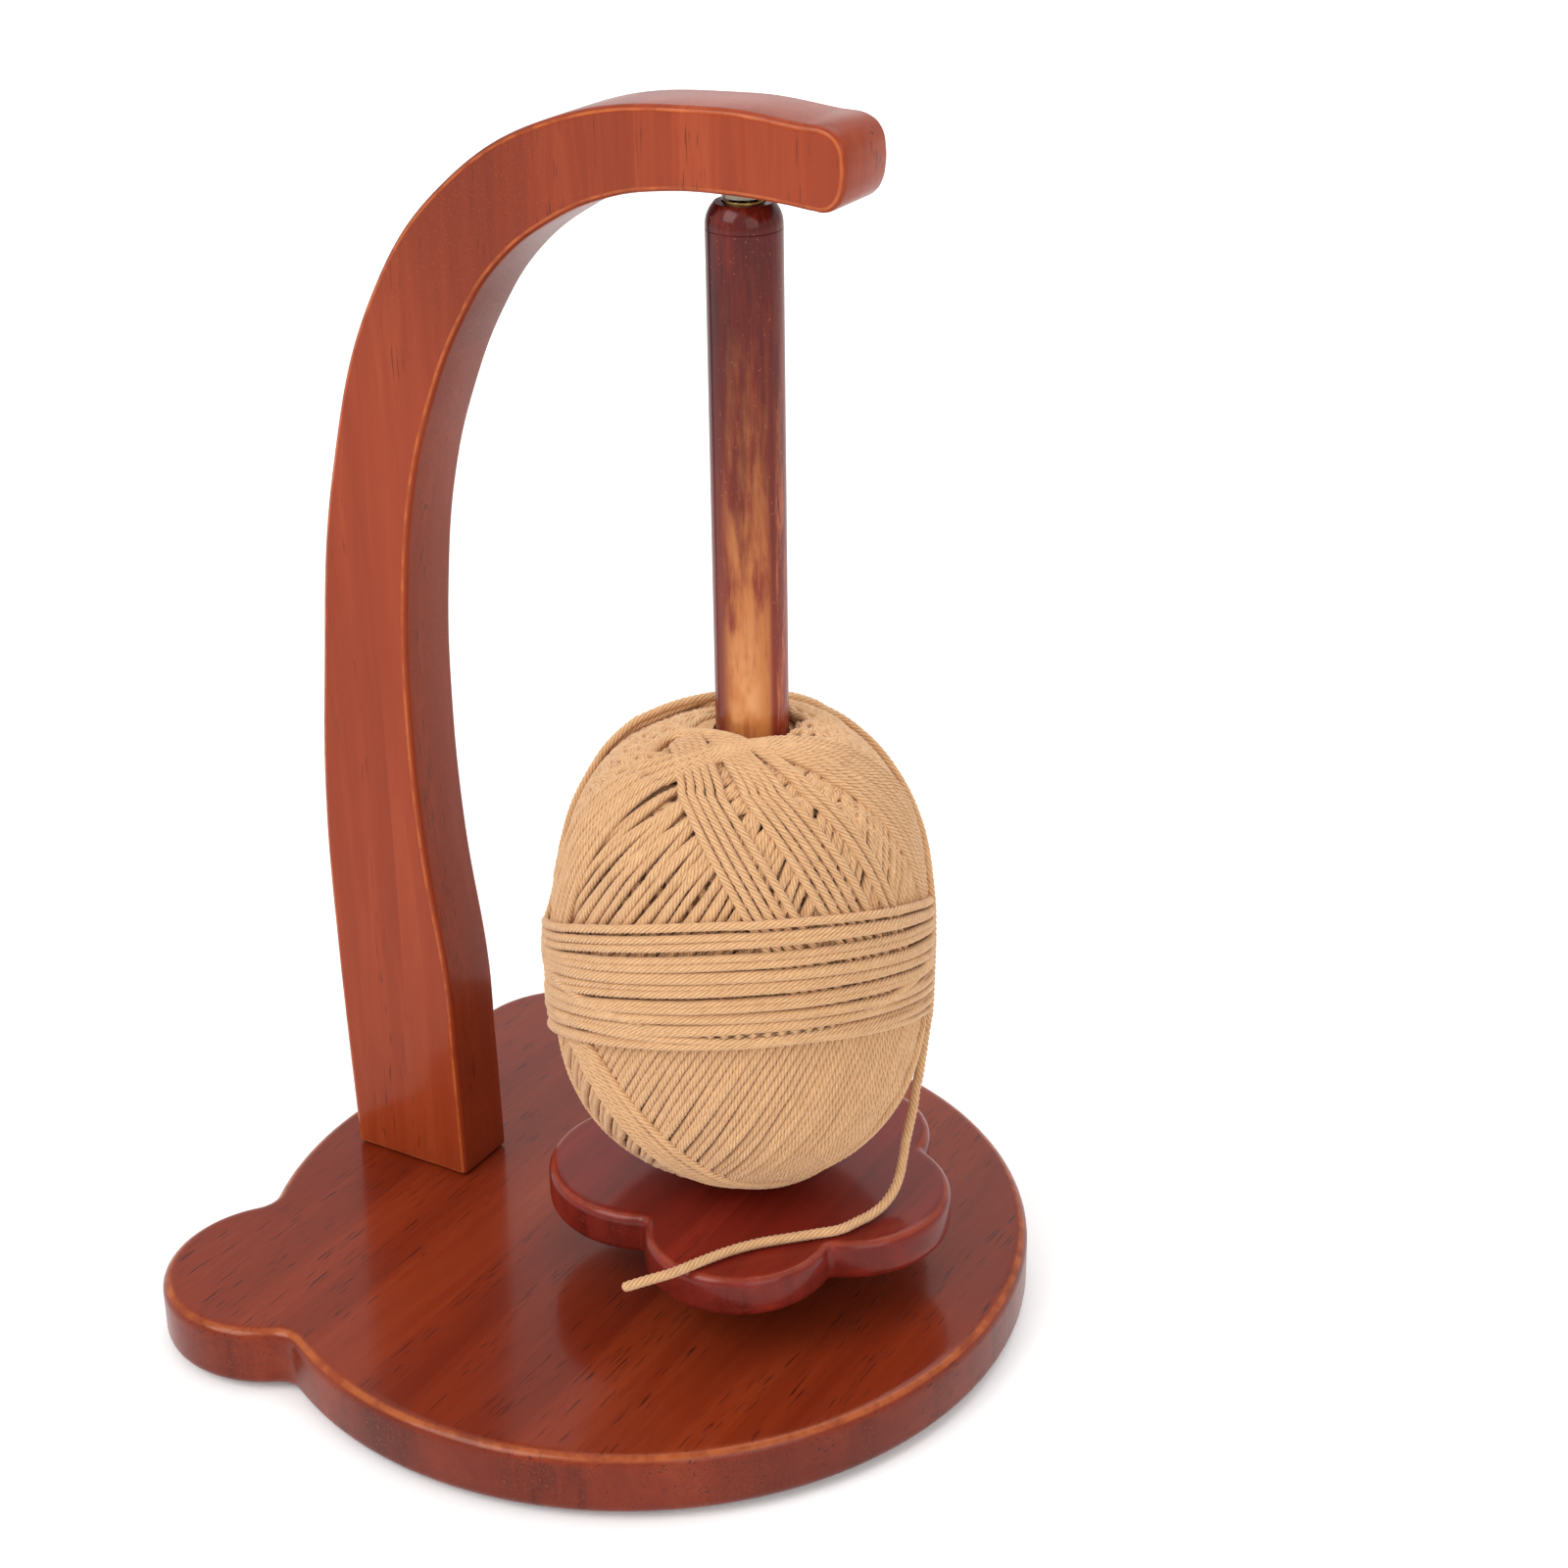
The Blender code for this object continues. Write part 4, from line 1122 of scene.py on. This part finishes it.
def drawn_down(points):
    """The points with the ball's lower end drawn down along the post, so that it rests on the plate."""
    near = (1 - np.hypot(points[:, 0], points[:, 1]) / end_radius).clip(0, 1)
    return points - np.outer(near * (points[:, 2] < 0) * end_drop, [0, 0, 1])


def between(ends, share):
    return ends[0] + (ends[1] - ends[0]) * share


def loop_run(count, lean, heading, top):
    """Loops whose lean, heading and top, in degrees, change from the first to the last.

    A loop leans by lean from level where it crosses the ball's waist, and it is highest
    towards its heading, counted from the front of the ball. It turns back at a height
    between the two of top, seen from the ball's middle. The loops take turns there, so
    that they don't pile up on one ring.
    """
    loops = []
    for i in range(count):
        share = i / (count - 1)
        uneven = (i * golden_share) % 1
        own_lean = between(lean, share) + (uneven - 0.5) * lean_jitter
        own_heading = between(heading, share) + ((uneven * 5) % 1 - 0.5) * heading_jitter
        loops.append((own_lean, own_heading, between(top, uneven)))
    return loops


def directions_at(way, height):
    """Directions at an angle round the ball and an angle above level."""
    return np.stack([np.cos(way) * np.cos(height), np.sin(way) * np.cos(height), np.sin(height)], axis=1)


def wound_directions(loops, lowest, highest):
    """Directions from the ball's middle along a strand that goes once round for each loop.

    Where it would go below the lowest or above the highest angle, it runs level there.
    """
    turns = np.arange((len(loops) - 1) * loop_steps + 1) / loop_steps
    lean, heading, top = (np.interp(turns, range(len(loops)), column) for column in zip(*loops))
    slope = np.radians(lean)
    turn = 2 * pi * turns
    height = np.degrees(np.arcsin(np.sin(slope) * np.cos(turn)))
    height = height * (1 + (top / lean - 1) * (height / lean) ** 2)
    height = np.radians(np.clip(height, lowest, highest))
    way = front_heading + np.radians(heading) + np.arctan2(np.sin(turn), np.cos(slope) * np.cos(turn))
    return directions_at(way, height)


def smooth_step(share):
    """A share from 0 to 1 with a smooth start and end."""
    share = share.clip(0, 1)
    return share ** 2 * (3 - 2 * share)


def away_from_front(directions):
    """0 for directions towards the front and its right, and 1 for those to the left and the back."""
    heading = np.degrees(np.arctan2(directions[:, 1], directions[:, 0]) - front_heading)
    away = np.abs((heading - shown_middle + 180) % 360 - 180)
    return smooth_step((away - shown_reach) / shown_fade)


class Ball:
    """A ball of yarn in the making. Each strand is laid on all that lies there already."""

    def __init__(self, diameter):
        self.diameter = diameter
        self.touch = diameter * touch_share
        self.laid = []

    def rest_height(self, tree, place, normal, guess):
        """How far above the body a strand rests here, on the strands below it."""
        height = guess
        for _ in range(3):
            needed = 0.0
            for point, _, _ in tree.find_range(place + normal * height, self.touch * 1.9):
                way = point - place
                up = way.dot(normal)
                aside = (way - normal * up).length_squared
                if aside < self.touch ** 2:
                    needed = max(needed, up + sqrt(self.touch ** 2 - aside))
            if abs(needed - height) < self.touch / 3:
                return needed
            height = needed
        return height

    def lay(self, directions, outside, buried=0):
        """Lays a strand along the directions and returns its points and outward normals.

        buried is how far each point lies under what was wound later, from 0 to 1.

        It is laid a loop at a time, so that it can rest on its own earlier loops. Pulled
        tight, it runs straight where nothing holds it up, and it sinks into a pile of
        strands that would stand out of the oval outside.
        """
        outside = [reach - self.diameter / 2 for reach in outside]
        body = on_oval(directions, yarn_body)
        normals = oval_normals(body, yarn_body)
        body = body + normals * (self.diameter / 2)
        sunk = np.ones(len(body)) - buried * bury_share
        points = np.zeros_like(body)
        before = 0.0
        for start in range(0, len(body) - 1, loop_steps):
            end = min(start + loop_steps + 1, len(body))
            tree = KDTree(len(self.laid))
            for i, point in enumerate(self.laid):
                tree.insert(point, i)
            tree.balance()
            needed = np.zeros(end - start)
            guess = before + self.touch
            for i in range(start, end):
                guess = self.rest_height(tree, Vector(body[i]), Vector(normals[i]), guess + self.touch / 2)
                needed[i - start] = guess
            heights = self.pull_tight(needed, body[start:end], before if start else None)
            before = heights[-1]
            laid = body[start:end] + normals[start:end] * heights[:, None]
            out = np.maximum(share_of_oval(laid, outside), 1)
            laid /= (1 + (out - 1) * give)[:, None]
            points[start:end] = laid * sunk[start:end, None]
            self.laid += [Vector(p) for p in points[start:end]]
        return points, normals

    def pull_tight(self, needed, body, first):
        step = np.linalg.norm(np.diff(body, axis=0), axis=1).mean()
        bend = step ** 2 / (2 * yarn_body[0])
        heights = needed.copy()
        if first is not None:
            heights[0] = first
        for _ in range(tight_rounds):
            middle = (heights[:-2] + heights[2:]) / 2 - bend
            heights[1:-1] = np.maximum(needed[1:-1], middle)
        return heights


def strand_shape(plies):
    """The strand's cross-section as shares of its radius: one bulge for each ply."""
    sides = plies * 2
    angles = np.arange(sides) * 2 * pi / sides
    bulge = np.abs(np.sin(angles * plies / 2)) ** 0.6
    return angles, 0.80 + 0.22 * bulge


def strand_mesh(name, points, normals, yarn, diameters, round_end=False):
    """A twisted, plied strand along the points, as a mesh with a map that runs along it.

    It is as thick at its start and its end as the two diameters say.
    """
    angles, shares = strand_shape(yarn.plies)
    sides = len(angles)
    ways = np.gradient(points, axis=0)
    ways /= np.linalg.norm(ways, axis=1)[:, None]
    outs = normals - ways * (normals * ways).sum(axis=1)[:, None]
    outs /= np.linalg.norm(outs, axis=1)[:, None]
    across = np.cross(ways, outs)
    steps = np.linalg.norm(np.diff(points, axis=0), axis=1)
    along = np.concatenate([[0.0], np.cumsum(steps)])
    radii = np.linspace(diameters[0] / 2, diameters[1] / 2, len(points))
    if round_end:
        left = np.minimum(along[-1] - along, radii[-1]) / radii[-1]
        radii *= np.sqrt(np.maximum(1 - (1 - left) ** 2, 0.02))
    turn = angles[None, :] - 2 * pi * along[:, None] / yarn.lay
    reach = shares[None, :] * radii[:, None]
    rings = points[:, None, :] + across[:, None, :] * (np.sin(turn) * reach)[:, :, None]
    rings += outs[:, None, :] * (np.cos(turn) * reach)[:, :, None]
    count = len(points)
    starts = np.arange(count - 1)[:, None] * sides
    first = (starts + np.arange(sides)).ravel()
    second = (starts + (np.arange(sides) + 1) % sides).ravel()
    faces = np.stack([first, second, second + sides, first + sides], axis=1)
    mesh = bpy.data.meshes.new(name)
    caps = [tuple(range(sides - 1, -1, -1)), tuple(range((count - 1) * sides, count * sides))]
    mesh.from_pydata(rings.reshape(-1, 3).tolist(), [], faces.tolist() + caps)
    add_strand_map(mesh, sides, count, along)
    mesh.shade_smooth()
    return mesh


def add_strand_map(mesh, sides, count, along):
    """Round the strand in u, from 0 to 1, and along it in v, in metres."""
    layer = mesh.uv_layers.new(name="strand")
    u = np.arange(sides) / sides
    quads = np.zeros(((count - 1), sides, 4, 2))
    quads[:, :, 0, 0] = quads[:, :, 3, 0] = u[None, :]
    quads[:, :, 1, 0] = quads[:, :, 2, 0] = u[None, :] + 1 / sides
    quads[:, :, 0, 1] = quads[:, :, 1, 1] = along[:-1, None]
    quads[:, :, 2, 1] = quads[:, :, 3, 1] = along[1:, None]
    ends = np.zeros((2 * sides, 2))
    ends[sides:, 1] = along[-1]
    layer.uv.foreach_set("vector", np.concatenate([quads.reshape(-1, 2), ends]).ravel().astype(np.float32))


def add_strand(name, points, normals, yarn, material, diameters, *nodes, round_end=False):
    mesh = strand_mesh(name, points, normals, yarn, diameters, round_end)
    piece = bpy.data.objects.new(name, mesh)
    bpy.context.scene.collection.objects.link(piece)
    mesh.materials.append(material)
    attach(piece, "yarn")
    if nodes:
        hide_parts(*nodes)
    return piece


def yarn_finish(context):
    known = bpy.data.materials.get("plied_yarn")
    yarn = context.scene.holder_yarn
    return known or wool("plied_yarn", tuple(yarn.light), tuple(yarn.dark), yarn.plies)


def smooth_route(route, spacing):
    """Points about a spacing apart on a smooth curve through the route's own points."""
    route = [Vector(place) for place in route]
    points = []
    for i in range(len(route) - 1):
        before = route[max(i - 1, 0)]
        start, end = route[i], route[i + 1]
        after = route[min(i + 2, len(route) - 1)]
        steps = max(1, round((end - start).length / spacing))
        for step in range(steps):
            t = step / steps
            bend = (before * 2 - start * 5 + end * 4 - after) * t ** 2
            bend += (start * 3 - before - end * 3 + after) * t ** 3
            points.append((start * 2 + (end - before) * t + bend) / 2)
    return np.array(points + [route[-1]])


class HOLDER_OT_tail(bpy.types.Operator):
    """Models the yarn's loose end, which hangs off the ball and lies on the plate"""
    bl_idname = "holder.tail"
    bl_label = "Loose end"

    def execute(self, context):
        yarn = context.scene.holder_yarn
        points = smooth_route(tail_route, tail_spacing)
        ways = np.gradient(points, axis=0)
        side = np.cross(ways, np.array([cos(front_heading), sin(front_heading), 0.6]))
        normals = np.cross(side, ways)
        diameters = (yarn.diameter, yarn.diameter)
        tail = add_strand("loose_end", points, normals, yarn, yarn_finish(context), diameters, "yarn_tail",
                          round_end=True)
        return {'FINISHED'}


class HOLDER_OT_ball(bpy.types.Operator):
    """Winds the ball of yarn: an inner body, crossing windings and a band round its waist"""
    bl_idname = "holder.ball"
    bl_label = "Ball of yarn"

    def execute(self, context):
        yarn = context.scene.holder_yarn
        self.add_body(context)
        ball = Ball(yarn.wound)
        wound = (yarn.wound, yarn.wound)
        finish = yarn_finish(context)
        for name, loops, limits, outside, *nodes in self.windings():
            directions = wound_directions(loops, *limits)
            buried = away_from_front(directions) if name == "crossing_winding" else 0
            points, normals = ball.lay(directions, outside, buried)
            for i in range(0, len(loops) - 1, loops_in_piece):
                part = slice(i * loop_steps, (i + loops_in_piece) * loop_steps + 1)
                own_name = f"{name}_{i // loops_in_piece + 1}"
                replaced = nodes if i == 0 else []
                add_strand(own_name, self.placed(points[part]), normals[part], yarn, finish, wound, *replaced)
        points, normals = ball.lay(self.band_directions(), band_outside)
        add_strand("waist_band", self.placed(points), normals, yarn, finish, wound, "yarn_band")
        points, normals = ball.lay(self.lead_directions(), lead_outside)
        points = self.joined(self.placed(points), tail_route[0])
        add_strand("lead_strand", points, normals, yarn, finish, (yarn.wound, yarn.diameter))
        return {'FINISHED'}

    def placed(self, points):
        """The points in the holder's frame. The ball bulges to one side, but its ends lie round the post."""
        points = drawn_down(points)
        end = (1 - np.hypot(points[:, 0], points[:, 1]) / end_radius).clip(0, 1) ** 0.5
        to_post = np.array(spindle) - [ball_middle.x, ball_middle.y, 0]
        return points + np.array(ball_middle) + np.outer(end, to_post)

    def windings(self):
        """Each winding's name, loops, limits of height, oval and node, from the inside out."""
        all_over = (-90, 90)
        above_band = (8, 90)
        below_band = (-90, 8)
        under = loop_run(58, (60, 62), (-182, 0), (56, 78))
        steep = loop_run(14, (74, 75), (10, 350), (76, 79.6))
        rising = loop_run(66, (60, 64), (0, 182), (62, 79.6))
        left = [(74 + 0.3 * i, -6 + 3 * i, 76 + i % 3) for i in range(10)]
        limb = [(72, -180, 76), (72, -177, 76), (72, -174, 76)]
        lower = loop_run(6, (39, 39), (-168, -151), (62, 66))
        return [("under_winding", under, all_over, under_outside, "yarn_winding"),
                ("steep_winding", steep, all_over, under_outside),
                ("rising_winding", rising, all_over, rising_outside, "yarn_cross_winding"),
                ("left_winding", left, above_band, yarn_outside),
                ("crossing_winding", crossing_loops, above_band, yarn_outside),
                ("limb_winding", limb, above_band, lead_outside),
                ("lower_winding", lower, below_band, yarn_outside)]

    def band_directions(self):
        """Nearly level loops, tipped up at the front, that step down the waist."""
        highest = front_heading + band_heading
        axis = Vector((-sin(band_lean) * cos(highest), -sin(band_lean) * sin(highest), cos(band_lean)))
        level = Vector((-sin(highest), cos(highest), 0))
        towards = axis.cross(level)
        turns = np.arange(band_loops * loop_steps + 1) / loop_steps
        rise = np.radians(np.interp(turns, [0, band_loops - 1, band_loops], band_rise))
        sway = band_sway * np.sin(turns * 2 * pi * 0.83) * np.sin(turns * 2.1)
        turn = 2 * pi * turns
        ring = np.outer(np.cos(turn), level) - np.outer(np.sin(turn), towards)
        rise += sway
        return np.outer(np.sin(rise), axis) + ring * np.cos(rise)[:, None]

    def lead_directions(self):
        """Down the ball's right limb, over the band's end, to where the loose end leaves it."""
        share = np.linspace(0, 1, round(loop_steps * lead_loops))
        height = lead_from - lead_drop * share
        heading = np.interp(-height, *zip(*lead_headings))
        return directions_at(front_heading + np.radians(heading), np.radians(height))

    def joined(self, points, place):
        """The points, shifted little by little so that the last one comes to a place."""
        share = smooth_step(np.linspace(-1.5, 1, len(points)))
        return points + share[:, None] * (np.array(place) - points[-1])

    def add_body(self, context):
        """The yarn inside, turned to an oval and bored for the post."""
        yarn = context.scene.holder_yarn
        angles = np.linspace(pi / 2, -pi / 2, body_rows)
        outline = drawn_down(on_oval(directions_at(0 * angles, angles), yarn_body))
        profile = [(max(p[0], 0.0), max(ball_middle.z + p[2], core_low.z)) for p in outline]
        profile[0] = (0, profile[0][1])
        profile[-1] = (0, profile[-1][1])
        body = turned(profile, ball_middle)
        top = ball_middle.z + yarn_body[1]
        bore(body, spindle, post_radius + body_gap, core_low.z - cut_over, top + cut_over)
        finish = plain_yarn("inner_yarn", tuple(yarn.light), tuple(yarn.dark))
        finish_piece(body, "inner_yarn", finish, "yarn", "yarn_core")


class HOLDER_PT_panel(bpy.types.Panel):
    """Lists the holder's pieces"""
    bl_idname = "HOLDER_PT_panel"
    bl_label = "Yarn ball holder"
    bl_space_type = 'VIEW_3D'
    bl_region_type = 'UI'
    bl_category = "Yarn Holder"

    def draw(self, context):
        column = self.layout.column()
        for operator in piece_operators:
            column.operator(operator.bl_idname)
        for group in (context.scene.holder_wood, context.scene.holder_yarn, context.scene.holder_stage):
            for name in group.bl_rna.properties.keys():
                if name not in ("rna_type", "name"):
                    column.prop(group, name)


piece_operators = [HOLDER_OT_stage, HOLDER_OT_tail, HOLDER_OT_base, HOLDER_OT_pads, HOLDER_OT_arm,
                   HOLDER_OT_screws, HOLDER_OT_magnet, HOLDER_OT_pivot, HOLDER_OT_post, HOLDER_OT_plate,
                   HOLDER_OT_ball]
property_groups = {"holder_wood": HolderWood, "holder_yarn": HolderYarn, "holder_stage": HolderStage}


def register():
    for name, group in property_groups.items():
        bpy.utils.register_class(group)
        setattr(bpy.types.Scene, name, bpy.props.PointerProperty(type=group))
    for operator in piece_operators:
        bpy.utils.register_class(operator)
    bpy.utils.register_class(HOLDER_PT_panel)


def unregister():
    bpy.utils.unregister_class(HOLDER_PT_panel)
    for operator in reversed(piece_operators):
        bpy.utils.unregister_class(operator)
    for name, group in property_groups.items():
        delattr(bpy.types.Scene, name)
        bpy.utils.unregister_class(group)


def main():
    register()
    for operator in piece_operators:
        group, name = operator.bl_idname.split(".")
        getattr(getattr(bpy.ops, group), name)()


if __name__ == "__main__":
    main()
